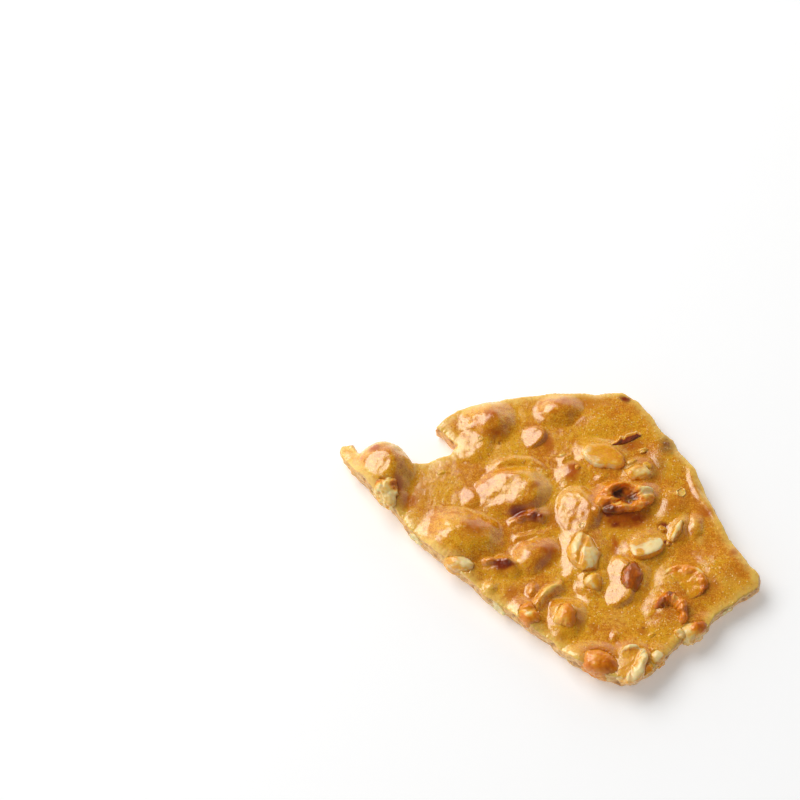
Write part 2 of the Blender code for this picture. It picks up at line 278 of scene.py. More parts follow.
class Peanut(NamedTuple):
    """A peanut, or a bit of one, that comes out of the candy. Its middle is at (x, y, z).

    Its form is "half", which lies dome up, "coin", a half with its flat face up, "dish", a half with that
    face hollow, or "egg", a whole nut.
    """

    name: str
    form: str
    x: float
    y: float
    z: float
    length: float
    width: float
    height: float
    turn: float  # degrees about Z, of the long axis from +X
    pitch: float = 0.0  # degrees, raises the leading end of the long axis
    roll: float = 0.0  # degrees, raises the side to the left of the long axis
    cuts: tuple = ()  # where it is broken off: (degrees from the long axis, share of the half side)
    tone: float = 0.2  # how far it was roasted: 0 is cream, 1 is dark brown
    browner: tuple = (0.0, 0.0)  # (how much, towards which side of the piece, in degrees)
    crinkle: float = 0.16  # depth of its dents
    rim: tuple = ()  # of a dish: (degrees from the long axis, thickness share, height share)
    depth: float = 0.3  # of a dish's hollow, as a share of its height
    hollow: float = 0.0  # how much browner its upper face is
    filled: float = 0.0  # how far that face is coated in candy
    coated: float = 1.0  # how far its sides are
    drips: tuple = ()  # where candy lies over it: (x, y, radius)
    marks: tuple = ()  # where it is paler or browner: (x, y, radius, tone)
    grooves: tuple = ()  # lines of points that a groove follows
    taper: float = 0.12  # how much narrower its leading end is
    climb: float = 1.0  # how far the candy climbs up round it, against the rest
    halo: float = 1.0  # how brown the candy round it is, against the rest


def heading(degrees):
    """The unit step in a direction, which is counted from +X towards +Y."""
    return math.cos(math.radians(degrees)), math.sin(math.radians(degrees))


def at_break(name, x, y, z, length, width, height, facing, cut):
    """A whole nut snapped at the rim point (x, y). Its long axis points out of the wall, to facing."""
    back = cut * length / 2 - SNAP_STANDS_OUT
    out_x, out_y = heading(facing)
    place = (x - back * out_x, y - back * out_y, z)
    return Peanut(name, "egg", *place, length, width, height, facing, cuts=((0, cut),), tone=0.1, coated=0.1)


PEANUTS = (
    Peanut(
        "golden_half", "coin", 15.2, 21.7, 5.8, 11.4, 7.2, 3.4, -20, 2, -7, tone=0.26, crinkle=0.26,
        filled=0.5, coated=0.0,
        marks=(
            (17.8, 22.6, 2.8, 0.46), (19.8, 21.0, 1.6, 0.56), (11.4, 20.8, 2.0, 0.0),
            (13.6, 18.9, 1.6, 0.0), (16.8, 17.9, 1.4, 0.0), (11.0, 23.0, 1.4, 0.04),
        ),
    ),
    Peanut(
        "cream_chip", "coin", 24.6, -4.0, 5.7, 9.6, 6.4, 3.4, 14, 3, -12, ((76, 0.56), (180, 0.86)),
        tone=0.0, crinkle=0.24, drips=((22.6, -2.6, 1.8), (24.0, -2.2, 1.4), (22.8, -6.0, 1.2)), halo=0.0,
    ),
    Peanut(
        "snapped_half", "half", 9.0, -5.4, 6.3, 12.4, 8.6, 4.0, 98, -3, 4, ((180, 0.86),), tone=0.06,
        crinkle=0.45,
        drips=((7.6, -7.4, 1.5), (8.2, -9.6, 1.5), (9.4, -2.2, 1.2), (10.0, -4.0, 1.0), (6.6, 0.0, 1.2)),
        grooves=(((9.6, 0.2), (9.2, -2.6), (8.0, -5.2), (7.6, -8.4)),), marks=((9.6, -2.6, 1.2, 0.5),),
    ),
    Peanut(
        "small_chip", "half", 10.9, -13.4, 5.9, 5.8, 5.2, 3.4, 60, 6, 0, ((0, 0.7),), tone=0.1, crinkle=0.3,
        drips=((12.0, -13.0, 2.0),), marks=((12.4, -14.4, 1.2, 0.4),),
    ),
    Peanut(
        "tilted_half", "dish", 34.0, -13.6, 4.8, 11.6, 9.8, 4.2, -8, 9, 9, tone=0.42, crinkle=0.4,
        depth=0.12, filled=1.0, coated=0.1,
        rim=(
            (-90, 0.06, 0.8), (-50, 0.14, 0.86), (-20, 0.3, 0.98), (10, 0.38, 1.04), (50, 0.36, 1.04),
            (95, 0.42, 1.02), (130, 0.34, 0.96), (160, 0.14, 0.86), (200, 0.06, 0.76), (240, 0.06, 0.76),
        ),
        # The pale marks at (37.6, -10.6) and (29.4, -10.0) are painted highlights on its rim.
        marks=((37.6, -10.6, 1.2, 0.06), (29.4, -10.0, 1.2, 0.16), (39.2, -15.4, 1.8, 0.56)),
    ),
    Peanut(
        "arched_cup", "dish", 29.6, -21.6, 5.9, 9.8, 8.6, 5.0, 90, 2, -2, tone=0.48, crinkle=0.6, depth=0.7,
        filled=1.0, coated=0.2, climb=0.55,
        rim=(
            (-140, 0.4, 0.66), (-110, 0.5, 0.9), (-90, 0.56, 0.98), (-45, 0.64, 1.0), (0, 0.7, 1.0),
            (40, 0.72, 0.95), (66, 0.66, 0.8), (92, 0.2, 0.4), (140, 0.08, 0.2), (200, 0.1, 0.2),
        ),
        # The dark mark at (34.0, -22.0) is painted shadow on the side of the rim away from the softbox, and
        # the one at (27.4, -20.0) is partly painted shade inside the hollow.
        marks=(
            (29.8, -17.4, 1.4, 0.8), (27.4, -20.0, 1.6, 0.76), (30.8, -18.8, 0.9, 0.2),
            (34.0, -22.0, 1.2, 0.7),
        ),
    ),
    Peanut("red_skinned", "egg", 20.5, -12.4, 5.7, 9.6, 5.8, 4.8, 80, tone=0.72, crinkle=0.3, coated=0.2),
    Peanut(
        "round_small", "egg", 3.8, -22.8, 6.2, 7.4, 5.4, 5.2, 84, tone=0.38, browner=(0.2, 0), taper=0.24,
        crinkle=0.3, coated=0.4,
    ),
    Peanut(
        "toasted_tip", "half", 11.9, -35.1, 5.6, 10.0, 7.2, 5.0, -24, tone=0.4, crinkle=0.6, coated=0.1,
        marks=((13.2, -36.2, 2.4, 0.6), (8.6, -36.6, 1.6, 0.52)),
    ),
    Peanut(
        "rimmed_cup", "dish", 19.2, -35.7, 5.9, 10.4, 8.0, 4.8, 60, 0, -4, tone=0.0, crinkle=0.24,
        depth=0.26, filled=1.0, coated=0.5,
        rim=(
            (0, 0.22, 0.66), (15, 0.24, 0.9), (45, 0.3, 0.98), (72, 0.2, 0.82), (92, 0.08, 0.6),
            (140, 0.06, 0.5), (180, 0.1, 0.55), (205, 0.5, 0.8), (240, 0.62, 0.96), (290, 0.6, 1.0),
            (335, 0.46, 0.94),
        ),
        drips=((18.0, -34.0, 2.0),),
    ),
    Peanut(
        "corner_chip", "half", 25.8, -33.6, 5.2, 5.2, 4.2, 3.4, 45, 0, 0, ((0, 0.6),), tone=0.06,
        crinkle=0.6,
    ),
    Peanut(
        "edge_nut", "half", 35.0, -26.4, 5.0, 8.8, 4.8, 4.2, 26, 0, 0, tone=0.1, crinkle=0.7, coated=0.3,
        marks=((37.0, -25.4, 2.4, 0.62), (35.0, -26.4, 1.0, 0.5)),
    ),
    Peanut(
        "ringed_cup", "half", -5.4, -22.2, 5.9, 6.4, 5.6, 3.8, -60, 0, 12, tone=0.46, crinkle=0.4,
        coated=0.2, grooves=(((-7.8, -21.6), (-5.6, -21.9), (-3.4, -21.4)),),
        # The pale mark at its middle is a painted highlight across the nut.
        marks=((-5.4, -22.4, 1.1, 0.04),),
    ),
    Peanut(
        "left_edge_half", "half", -21.8, -8.5, 5.6, 8.6, 5.0, 4.2, -20, 0, -6, ((0, 0.76),), tone=0.04,
        crinkle=0.3, drips=((-24.8, -7.4, 2.0),), coated=0.6,
    ),
    Peanut(
        "toasted_cup", "dish", 19.8, 9.2, 6.7, 15.6, 8.0, 5.4, 10, 2, 2, tone=0.44, crinkle=0.6, depth=0.4,
        hollow=0.26, coated=0.1,
        rim=(
            (0, 0.5, 0.9), (30, 0.46, 1.0), (60, 0.4, 0.9), (90, 0.3, 0.98), (120, 0.34, 0.96),
            (150, 0.5, 0.86), (180, 0.66, 0.9), (210, 0.66, 0.8), (240, 0.6, 0.94), (270, 0.5, 0.9),
            (300, 0.6, 0.88), (330, 0.56, 0.76),
        ),
        # Its browner hollow and the dark marks in it and along its front wall are partly painted shade.
        marks=(
            (25.4, 11.2, 2.2, 0.03), (15.6, 5.2, 2.6, 0.9), (20.0, 4.4, 2.6, 0.8), (24.6, 5.0, 2.6, 0.7),
            (12.4, 7.4, 1.6, 0.34), (17.4, 7.8, 1.3, 0.2), (20.2, 6.6, 1.5, 0.24), (23.4, 6.6, 1.3, 0.34),
            (18.0, 10.6, 1.6, 0.78), (21.2, 9.0, 1.4, 0.66), (21.6, 12.4, 2.0, 0.44),
        ),
    ),
    Peanut(
        "pale_half", "half", 23.8, 17.2, 5.6, 7.6, 5.2, 3.6, 14, 0, 0, ((200, 0.8),), tone=0.14,
        crinkle=0.7, drips=((23.8, 19.4, 2.0), (21.4, 16.4, 1.2)),
    ),
    Peanut(
        "lump_tip", "egg", -40.5, 10.9, 6.6, 8.8, 6.4, 5.4, -78, -22, 0, tone=0.1, crinkle=0.9, taper=0.5,
        coated=0.2, marks=((-43.0, 14.0, 1.8, 0.55), (-38.2, 12.4, 1.6, 0.55)),
    ),
    Peanut("sliver", "half", 32.8, 1.0, 5.9, 7.0, 2.4, 3.4, 62, 0, 0, ((0, 0.8),), tone=0.1, crinkle=0.3),
    at_break("notch_snap", -27.5, 21.7, 3.0, 9.0, 5.6, 3.8, 110, 0.5),
    at_break("back_snap_left", -10.0, 39.1, 3.1, 11.0, 6.2, 4.0, 100, 0.4),
    at_break("back_snap_right", 9.5, 40.8, 2.9, 10.0, 5.6, 3.8, 91, 0.6),
    at_break("right_snap_high", 36.4, 21.2, 3.0, 10.0, 5.8, 4.0, 38, 0.5),
    at_break("right_snap_low", 45.4, -1.0, 3.0, 11.0, 6.6, 4.0, 28, 0.3),
    at_break("front_snap_right", 43.4, -20.4, 3.0, 9.0, 5.4, 3.8, -58, 0.5),
    at_break("front_snap_middle", -13.0, -18.9, 3.0, 11.0, 6.4, 4.0, 223, 0.4),
    at_break("front_snap_left", -33.0, -0.1, 3.0, 10.0, 5.8, 3.8, 228, 0.6),
)

# ---------------------------------------------------------------------------------------------------------
# The upper face of the candy.
# The hot syrup sank between the peanuts and hangs over them as soft humps, with rolled ridges where it ran
# off a nut, so the sheet is nowhere level.

SHEET = 5.6  # usual thickness
WAVE_RISE = 0.3
WAVE_LENGTH = 22.0
TIP_SHEET = 3.2  # thickness at the thin spit on the left
TIP_REACH = 9.0
TIP = (-52.0, 26.5)
FACET_EDGE = 0.55  # how wide the bend is where a flat flank starts
SKIRT = 1.25  # how far a hump's foot spreads past its half sides
BEVEL_REACH = 2.0  # how far in the top starts to fall towards the rim
BEVEL_DROP = 0.5
BEVEL_WAVE = 6.0  # length over which the drop changes
DRIFTS = ((0.9, 8.0, 30), (0.45, 2.4, 33))  # (how far forms are pulled out of true, length, seed)
LIVELY = (0.25, 1)  # how rough the level sheet is, against a hump
DIMPLES = (  # (depth on a hump, depth everywhere, length, seed)
    (0.3, 0.0, 7.0, 3), (0.0, 0.06, 5.0, 3), (0.15, 0.0, 2.6, 9), (0.06, 0.02, 1.3, 12),
)


class Hump(NamedTuple):
    """Candy draped over a nut: an oval mound that meets the sheet without a crease."""

    x: float
    y: float
    half_length: float
    half_width: float
    turn: float  # degrees, from +X
    rise: float  # above the sheet; below zero for a dip
    fullness: float = 2.6  # higher is flatter on top
    foot: float = 2.0  # higher spreads the foot more
    facet: tuple = ()  # a flat flank: (degrees it faces, degrees it slopes, its height over the middle)


class Ridge(NamedTuple):
    """A rolled edge in the candy, along a line of points."""

    line: tuple
    half_width: float
    rise: float


HUMPS = [Hump(*row) for row in (
    (-41.2, 18.6, 8.7, 7.7, 90, 5.8, 2.6, 2.6, (200, 20, 5.3)), (-13.6, 32.0, 6.6, 5.6, 10, 3.0, 2.4, 2.0),
    (-18.4, 25.4, 5.0, 4.4, 0, 1.2, 3.0, 1.8, (185, 8, 0.7)),
    (-8.3, 12.0, 8.4, 6.4, 10, 3.6, 3.2, 1.8, (186, 12, 2.8)), (-21.4, -1.2, 9.6, 7.6, -8, 3.8),
    (-19.4, 10.8, 3.2, 2.8, 0, 1.0, 2.6, 1.8, (180, 12, 0.6)), (-3.0, -5.8, 6.0, 3.9, 30, 2.4),
    (8.2, 5.8, 7.4, 4.8, 92, 2.7, 3.0, 1.8, (182, 12, 1.6)), (4.4, 35.8, 5.8, 4.2, 8, 2.3, 2.4, 2.0),
    (16.5, 33.2, 9.0, 5.5, 0, 0.6), (31.2, 20.6, 6.6, 4.2, 105, 0.5),
    (31.2, 7.8, 6.4, 4.6, 60, 0.9, 2.4, 2.4), (37.4, 2.4, 3.4, 1.8, 80, 0.8),
    (44.0, -10.4, 8.0, 6.5, -20, 0.8), (-4.0, 4.4, 5.0, 3.6, 10, 1.2, 2.4, 2.0),
    (-3.4, 5.0, 1.6, 1.3, 30, 2.1, 3.0, 1.6), (-6.6, 3.4, 1.3, 1.0, 0, 1.7, 3.0, 1.6),
    (-1.4, 3.8, 1.4, 1.2, -40, 1.6, 3.0, 1.6), (-14.8, -8.2, 1.7, 1.1, -20, 1.8, 3.0, 1.6),
    (-10.6, -8.6, 1.5, 1.1, 30, 2.1, 3.0, 1.6), (-2.4, 28.0, 2.9, 2.5, 20, 2.0, 5.0, 1.2, (188, 18, 0.9)),
    (-11.4, -9.2, 5.2, 2.8, -8, 1.5), (7.0, 17.2, 4.4, 4.0, 60, 0.8),
    (13.8, 16.6, 2.6, 2.0, 10, 0.9, 2.6, 2.0, (185, 14, 0.5)), (12.6, 6.0, 1.8, 2.6, 0, 2.2),
    (17.6, -13.4, 6.2, 3.6, 84, 2.6, 4.0, 1.3, (180, 17, 1.3)), (-4.6, -15.6, 2.4, 1.6, 70, 0.9),
    (-14.6, -15.0, 2.0, 1.8, -40, 0.8), (4.6, -10.8, 2.2, 2.0, 40, 1.0, 2.6, 2.0, (190, 16, 0.5)),
    (6.4, -34.4, 4.2, 3.6, -40, 1.2), (15.6, -27.8, 1.3, 1.3, 0, 0.4), (4.8, -16.2, 5.0, 4.0, 0, -0.8),
)]
RIDGES = (
    Ridge(((-14.6, 17.6), (-11.0, 20.2), (-7.6, 21.6), (-4.0, 21.1), (-1.2, 19.6), (0.4, 16.2)), 1.7, 0.6),
    Ridge(((-8.6, -1.6), (-5.0, -0.6), (-2.0, -0.1), (1.6, 0.2)), 1.3, 0.5),
    Ridge(((3.6, -13.6), (0.4, -15.2), (-1.8, -17.4), (-3.4, -21.0)), 2.0, 1.9),
    Ridge(((-10.0, 2.6), (-6.4, 4.2), (-2.4, 3.8), (0.6, 5.0)), 1.2, 0.6),
    Ridge(((-17.0, -7.6), (-13.4, -8.4), (-9.8, -7.8), (-7.6, -8.8)), 1.2, 0.5),
    Ridge(((4.0, 20.6), (5.6, 22.0), (7.6, 22.6)), 1.2, 0.5),
    Ridge(((36.6, 20.4), (37.6, 16.0), (38.8, 11.6), (41.6, 6.4), (43.8, 0.8)), 1.4, 0.4),
)


def oval_axes(x, y, oval):
    """How far along and across an oval's long axis each point lies, from its middle."""
    cos, sin = heading(oval.turn)
    dx, dy = x - oval.x, y - oval.y
    return dx * cos + dy * sin, dy * cos - dx * sin


def oval_distance(x, y, oval):
    """0 at an oval's middle and 1 on its edge."""
    along, across = oval_axes(x, y, oval)
    return np.hypot(along / oval.half_length, across / oval.half_width)


def mound(hump, x, y):
    """How much a hump adds to the sheet at each point."""
    out = np.clip(oval_distance(x, y, hump) / SKIRT, 0, 1)
    dome = hump.rise * (1 - out**hump.fullness) ** hump.foot
    if not hump.facet:
        return dome
    facing, slope, level = hump.facet
    cos, sin = heading(facing)
    gap = dome - (level - math.tan(math.radians(slope)) * ((x - hump.x) * cos + (y - hump.y) * sin))
    return np.maximum(dome - 0.5 * (gap + np.sqrt(gap**2 + FACET_EDGE**2)), np.minimum(dome, 0))


def line_distance(line, x, y):
    """Distance from each point to a line of points, and the share of the line's length it is nearest to."""
    ends = np.array(line)
    steps = np.hypot(*(ends[1:] - ends[:-1]).T)
    before = np.concatenate([[0], np.cumsum(steps)])
    nearest, share = np.full(x.shape, np.inf), np.zeros(x.shape)
    for (ax, ay), (bx, by), step, start in zip(ends, ends[1:], steps, before):
        along = np.clip(((x - ax) * (bx - ax) + (y - ay) * (by - ay)) / step**2, 0, 1)
        gap = np.hypot(x - ax - along * (bx - ax), y - ay - along * (by - ay))
        closer = gap < nearest
        nearest = np.where(closer, gap, nearest)
        share = np.where(closer, (start + along * step) / before[-1], share)
    return nearest, share


def rolled(ridge, x, y):
    """How much a ridge adds at each point. It dies away towards both ends."""
    gap, share = line_distance(ridge.line, x, y)
    across = np.clip(1 - (gap / ridge.half_width) ** 2, 0, 1) ** 1.5
    return ridge.rise * across * np.clip(4 * share * (1 - share), 0, 1) ** 0.5


TOP_PEANUTS = [nut for nut in PEANUTS if nut.z > SHEET - 1]  # the others show in the broken wall alone
COLLAR_REACH = 1.5
COLLAR_SHARE = 0.5  # of what stands out of the sheet
COLLAR_FULLNESS = 3.0
UNDER_NUT = 0.5
NUT_CORE = 0.8  # share of a nut's half sides inside which the candy is kept below it


def collar(nut):
    """The candy that climbs a little way up round a peanut."""
    stands = nut.z + nut.height / 2 - SHEET
    half_sides = (nut.length / 2 + COLLAR_REACH, nut.width / 2 + COLLAR_REACH)
    return Hump(nut.x, nut.y, *half_sides, nut.turn, nut.climb * COLLAR_SHARE * stands, COLLAR_FULLNESS)


def half_side(nut, degrees):
    """How far a nut reaches from its middle, in a direction counted from its long axis."""
    along, across = heading(degrees)
    return math.hypot(along * nut.length / 2, across * nut.width / 2)


def under_nut(nut, face, x, y):
    """The upper face, kept below a nut where that stands out of it. A dish full of candy is left alone."""
    if nut.filled == 1.0:
        return face
    along, across = oval_axes(x, y, nut)
    out = np.hypot(2 * along / nut.length, 2 * across / nut.width)
    below = out < NUT_CORE
    if nut.form == "dish":
        floor = nut.z + (0.5 - nut.depth) * nut.height - UNDER_NUT
    else:
        floor = nut.z
        lean = along * math.tan(math.radians(nut.pitch)) + across * math.tan(math.radians(nut.roll))
        below &= nut.z + lean + 0.5 * nut.height * np.sqrt(np.clip(1 - out**2, 0, 1)) > face
    for degrees, share in nut.cuts:
        cos, sin = heading(nut.turn + degrees)
        end = share * half_side(nut, degrees)
        below &= (x - nut.x) * cos + (y - nut.y) * sin < end - UNDER_NUT
    return np.where(below, np.minimum(face, floor), face)


def upper_face(x, y):
    """Height of the candy's upper face above the underside."""
    level = np.zeros_like(x)
    near_tip = np.clip(1 - np.hypot(x - TIP[0], y - TIP[1]) / TIP_REACH, 0, 1)
    sheet = SHEET + WAVE_RISE * grain(x, y, level, WAVE_LENGTH) - (SHEET - TIP_SHEET) * near_tip
    wx = sum((pull * grain(x, y, level + seed, length) for pull, length, seed in DRIFTS), x)
    wy = sum((pull * grain(x, y, level + seed + 20, length) for pull, length, seed in DRIFTS), y)
    mounds = [mound(hump, wx, wy) for hump in HUMPS]
    mounds += [mound(collar(nut), wx, wy) for nut in TOP_PEANUTS]
    raised = sum(np.clip(m, 0, None) ** 4 for m in mounds) ** 0.25
    face = sheet + raised + sum(np.clip(m, None, 0) for m in mounds)
    face += sum(rolled(ridge, wx, wy) for ridge in RIDGES)
    lively = np.clip(raised, *LIVELY)
    for on_hump, everywhere, length, seed in DIMPLES:
        face += (on_hump * lively + everywhere) * grain(x, y, level + seed, length)
    to_rim = np.clip(1 - distance_to(coarse_rim, x, y) / BEVEL_REACH, 0, 1)
    face -= BEVEL_DROP * to_rim**2 * (0.6 + grain(x, y, level + 15, BEVEL_WAVE))
    for nut in TOP_PEANUTS:
        face = under_nut(nut, face, x, y)
    return face


# ---------------------------------------------------------------------------------------------------------
# The candy as one closed mesh: upper face, broken wall and flat underside.
# Its underside is flat because it set on a level pan. The wall is steep and rough, bulges a little at half
# its height, and is pitted where the break opened the air bubbles of the candy.

WALL_ROWS = 16
WALL_PROFILE = ((0.0, -0.75), (0.3, -0.1), (0.64, 0.35), (0.9, 0.12), (1.0, 0.0))  # (share of height, out)
WALL_ROUGH = ((0.5, 3.4, 1.3, 0), (0.28, 1.3, 1.5, 7), (0.12, 0.6, 1, 11))  # (depth, length, squash, seed)
RIM_BLEND = 5  # points each way over which the rim's direction is averaged
UNDER_STEP = 1.4
RIM_CLEARANCE = 0.6  # in steps, between the edge and the nearest inner point
INSIDE_ONLY = 1  # keeps the triangles that lie inside the loop
SAME_POINT = 1e-6
PIT_SPACING = 1.9
PIT_RADIUS = 0.5  # as a share of the spacing
PIT_DEPTH = 0.55
PIT_CROWDS = 2.5  # in spacings, how large the patches are that have more of them
PIT_FLATNESS = 1.25  # how much wider a pit is than it is high


def inside(loop, x, y):
    """Whether each point lies within a closed loop."""
    odd = np.zeros(len(x), bool)
    for (ax, ay), (bx, by) in zip(loop, np.roll(loop, -1, axis=0)):
        crosses = (ay > y) != (by > y)
        if crosses.any():
            odd ^= crosses & (x < ax + (bx - ax) * (y - ay) / (by - ay if by != ay else 1.0))
    return odd


def triangulated(loop, step):
    """Points and triangles that fill a loop, on a grid of equal triangles. The loop's points come first."""
    low, high = loop.min(axis=0), loop.max(axis=0)
    row_gap = step * math.sqrt(3) / 2
    ys = np.arange(low[1] + row_gap / 2, high[1], row_gap)
    xs = np.arange(low[0], high[0], step)
    x, y = np.meshgrid(xs, ys)
    x = x + (np.arange(len(ys)) % 2)[:, None] * step / 2
    x, y = x.ravel(), y.ravel()
    kept = inside(loop, x, y)
    x, y = x[kept], y[kept]
    clear = distance_to(loop, x, y) > RIM_CLEARANCE * step
    inner = np.stack([x[clear], y[clear]], axis=1)
    points = np.concatenate([loop, inner])
    places, edge = [Vector(p) for p in points], list(range(len(loop)))
    found = delaunay_2d_cdt(places, [], [edge], INSIDE_ONLY, SAME_POINT)
    return np.array([tuple(p) for p in found[0]]), [tuple(f) for f in found[2]]


def outward(loop, reach):
    """Unit vectors pointing out of an anticlockwise loop, averaged over reach points each way."""
    run = np.roll(loop, -reach, axis=0) - np.roll(loop, reach, axis=0)
    out = np.stack([run[:, 1], -run[:, 0]], axis=1)
    return out / np.linalg.norm(out, axis=1)[:, None]


def bubble_pits(x, y, z):
    """How far each point lies down a bubble that the break opened, from 0 to 1."""
    pits = []
    for p in zip(x, y, z):
        place = Vector(p) / PIT_SPACING
        gap = noise.voronoi(place)[0][0] / PIT_RADIUS
        here = min(1.0, max(0.0, 3 * noise.noise(place / PIT_CROWDS) + 0.6))
        pits.append(here * max(0.0, 1 - gap**2))
    return np.array(pits)


def candy_mesh():
    """Points, triangles, a mask of what is broken wall, and how far each point lies down a bubble."""
    top, top_faces = triangulated(rim, FINE_STEP)
    top_z = upper_face(top[:, 0], top[:, 1])
    points = [np.column_stack([top, top_z])]
    broken, pits = [np.zeros(len(top))], [np.zeros(len(top))]
    faces = list(top_faces)

    count = len(rim)
    rim_x, rim_y = rim.T
    out = outward(rim, RIM_BLEND)
    ring = np.arange(count)
    total = len(top)
    for row in range(1, WALL_ROWS + 1):
        share = 1 - row / WALL_ROWS
        z = top_z[:count] * share
        fade = min(1.0, 5 * (1 - share)) * min(1.0, 0.35 + 3 * share)  # smoother near the rim and the foot
        rough = 0
        for depth, length, squash, seed in WALL_ROUGH:
            rough += depth * grain(rim_x, rim_y, squash * z + seed, length)
        pit = bubble_pits(rim_x, rim_y, z * PIT_FLATNESS) * fade
        step = np.interp(share, *zip(*WALL_PROFILE)) + rough * fade - PIT_DEPTH * pit
        points.append(np.column_stack([rim + out * step[:, None], z]))
        broken.append(np.ones(count))
        pits.append(pit)
        lower = total + np.arange(count)
        total += count
        for i in range(count):
            j = (i + 1) % count
            faces.append((ring[i], lower[i], lower[j]))
            faces.append((ring[i], lower[j], ring[j]))
        ring = lower

    under, under_faces = triangulated(points[-1][:, :2], UNDER_STEP)
    extra = under[count:]
    level = np.zeros(len(extra))
    points.append(np.column_stack([extra, level]))
    broken.append(level)
    pits.append(level)
    index = np.concatenate([ring, total + np.arange(len(extra))])
    faces += [tuple(index[list(reversed(f))]) for f in under_faces]
    faces = [tuple(int(i) for i in f) for f in faces]
    return np.concatenate(points), faces, np.concatenate(broken), np.concatenate(pits)


def smooth_mesh(name, points, faces):
    """A smooth mesh from points in millimetres."""
    mesh = bpy.data.meshes.new(name)
    mesh.from_pydata((np.array(points) * MM).tolist(), [], faces)
    mesh.shade_smooth()
    return mesh


candy_points, candy_faces, candy_broken, candy_pits = candy_mesh()
candy_data = smooth_mesh("candy_sheet", candy_points, candy_faces)
candy = placed("candy_sheet", candy_data)

# ---------------------------------------------------------------------------------------------------------
# What shows through the candy, and painted light.
# The syrup is clear enough for what lies just under it to tint it: toasted bits, red papery skin, the pale
# flesh of nuts near the surface, and the light that comes through thin edges, which is painted as a pale
# band. Some patches are painted light instead: painted shade beside humps and nuts, and painted highlights
# where slopes face the softbox.


class Stain(NamedTuple):
    """An oval patch of colour that fades out at its edge."""

    x: float
    y: float
    half_length: float
    half_width: float
    turn: float = 0.0
    strength: float = 1.0


# Brown patches. Those at (-12.6, 28.2), (-3.0, 12.4), (1.0, 26.6), (6.6, -23.6), (41.0, -14.0), (-34.6, 9.4)
# and (22.6, 25.6) are painted shade beside and under humps and nuts, on the side away from the softbox. The
# one at (-32.0, 12.0) is painted shade over the flats left of the middle. The one at (19.8, 4.2) is partly
# toasted skin and partly painted shadow under the cup. The rest is toasted nut showing through.
TOASTED_AND_SHADE = (
    (7.0, 17.6, 4.4, 2.8, 80, 1.0), (-13.4, 33.0, 3.0, 3.6, 0, 0.75), (-12.6, 28.2, 5.0, 2.2, 0, 0.7),
    (5.8, 37.8, 4.0, 2.8, 20, 0.55), (12.0, 37.4, 4.6, 3.0, 20, 0.5), (-18.4, 0.2, 5.6, 4.8, 0, 0.6),
    (0.2, -5.4, 3.8, 3.6, 30, 0.8), (-1.0, -8.4, 3.6, 2.0, 0, 0.6), (-4.2, 5.0, 7.0, 4.4, 0, 0.7),
    (1.6, 4.6, 3.2, 6.0, 10, 0.55), (-3.0, 12.4, 1.4, 3.4, -50, 0.7), (1.0, 26.6, 2.2, 5.0, 10, 0.7),
    (-11.6, -9.2, 6.4, 3.0, -5, 0.7), (31.0, 7.6, 5.4, 4.6, 60, 0.5), (40.6, 6.0, 2.6, 3.2, 60, 0.7),
    (19.8, 4.2, 9.4, 4.6, 5, 1.0), (16.8, -3.4, 1.8, 5.0, 0, 0.75), (22.0, -12.4, 2.2, 5.0, 0, 0.7),
    (-6.4, -21.0, 3.4, 3.2, 0, 0.4), (2.0, -28.2, 4.0, 2.4, -40, 0.4), (6.6, -23.6, 2.4, 4.6, 10, 0.6),
    (10.6, -25.2, 2.4, 1.8, 0, 0.5), (22.4, -26.6, 2.4, 1.6, 0, 0.6), (11.5, -34.0, 6.8, 5.4, -20, 0.9),
    (-43.6, 22.4, 2.4, 1.8, 30, 1.0), (-37.6, 13.0, 2.2, 3.4, 10, 0.8), (-34.6, 9.4, 4.2, 3.4, 30, 0.7),
    (46.0, -11.6, 5.0, 5.6, 0, 0.3), (-9.4, -15.6, 2.8, 3.2, 0, 0.6), (46.6, -5.0, 1.5, 2.2, -45, 0.6),
    (-23.4, 5.2, 3.2, 1.2, 0, 0.55), (34.0, -16.4, 5.4, 3.0, 0, 0.35), (41.0, -14.0, 1.8, 3.8, 0, 0.55),
    (-32.0, 12.0, 5.0, 7.0, 0, 0.45), (22.6, 25.6, 4.6, 3.0, 20, 0.7), (12.0, 38.0, 9.0, 3.4, 0, 0.5),
)
# Red-brown skin under the candy. The rows at (15.6, 5.4), (17.4, 2.6) and (22.6, 4.6), along the front of
# the cup at (19.8, 9.2), are partly skin and partly painted shadow under it.
SKINS_AND_SHADE = (
    (-7.4, 5.6, 3.4, 2.4, -20, 1.0), (-3.0, 4.2, 3.4, 2.0, 10, 0.8), (-11.2, -9.0, 4.6, 2.0, -3, 1.0),
    (29.2, 1.8, 2.2, 2.6, 30, 1.0), (30.0, -2.8, 1.7, 1.3, 0, 1.0), (21.4, 39.4, 2.5, 1.8, -30, 0.85),
    (15.6, 5.4, 2.6, 2.4, 0, 0.95), (17.4, 2.6, 2.0, 1.6, 0, 0.7), (22.6, 4.6, 4.6, 2.0, 0, 0.55),
    (31.6, 26.2, 2.2, 2.6, 0, 0.45), (-11.5, 26.0, 0.8, 0.7, 0, 0.7), (22.6, -25.4, 0.8, 0.8, 0, 0.6),
    (7.4, 18.4, 1.2, 1.6, 0, 0.5),
)
GREYED = ((31.4, 25.2, 3.6, 5.4, -10, 0.8), (29.0, 19.0, 4.4, 7.0, -20, 0.5))
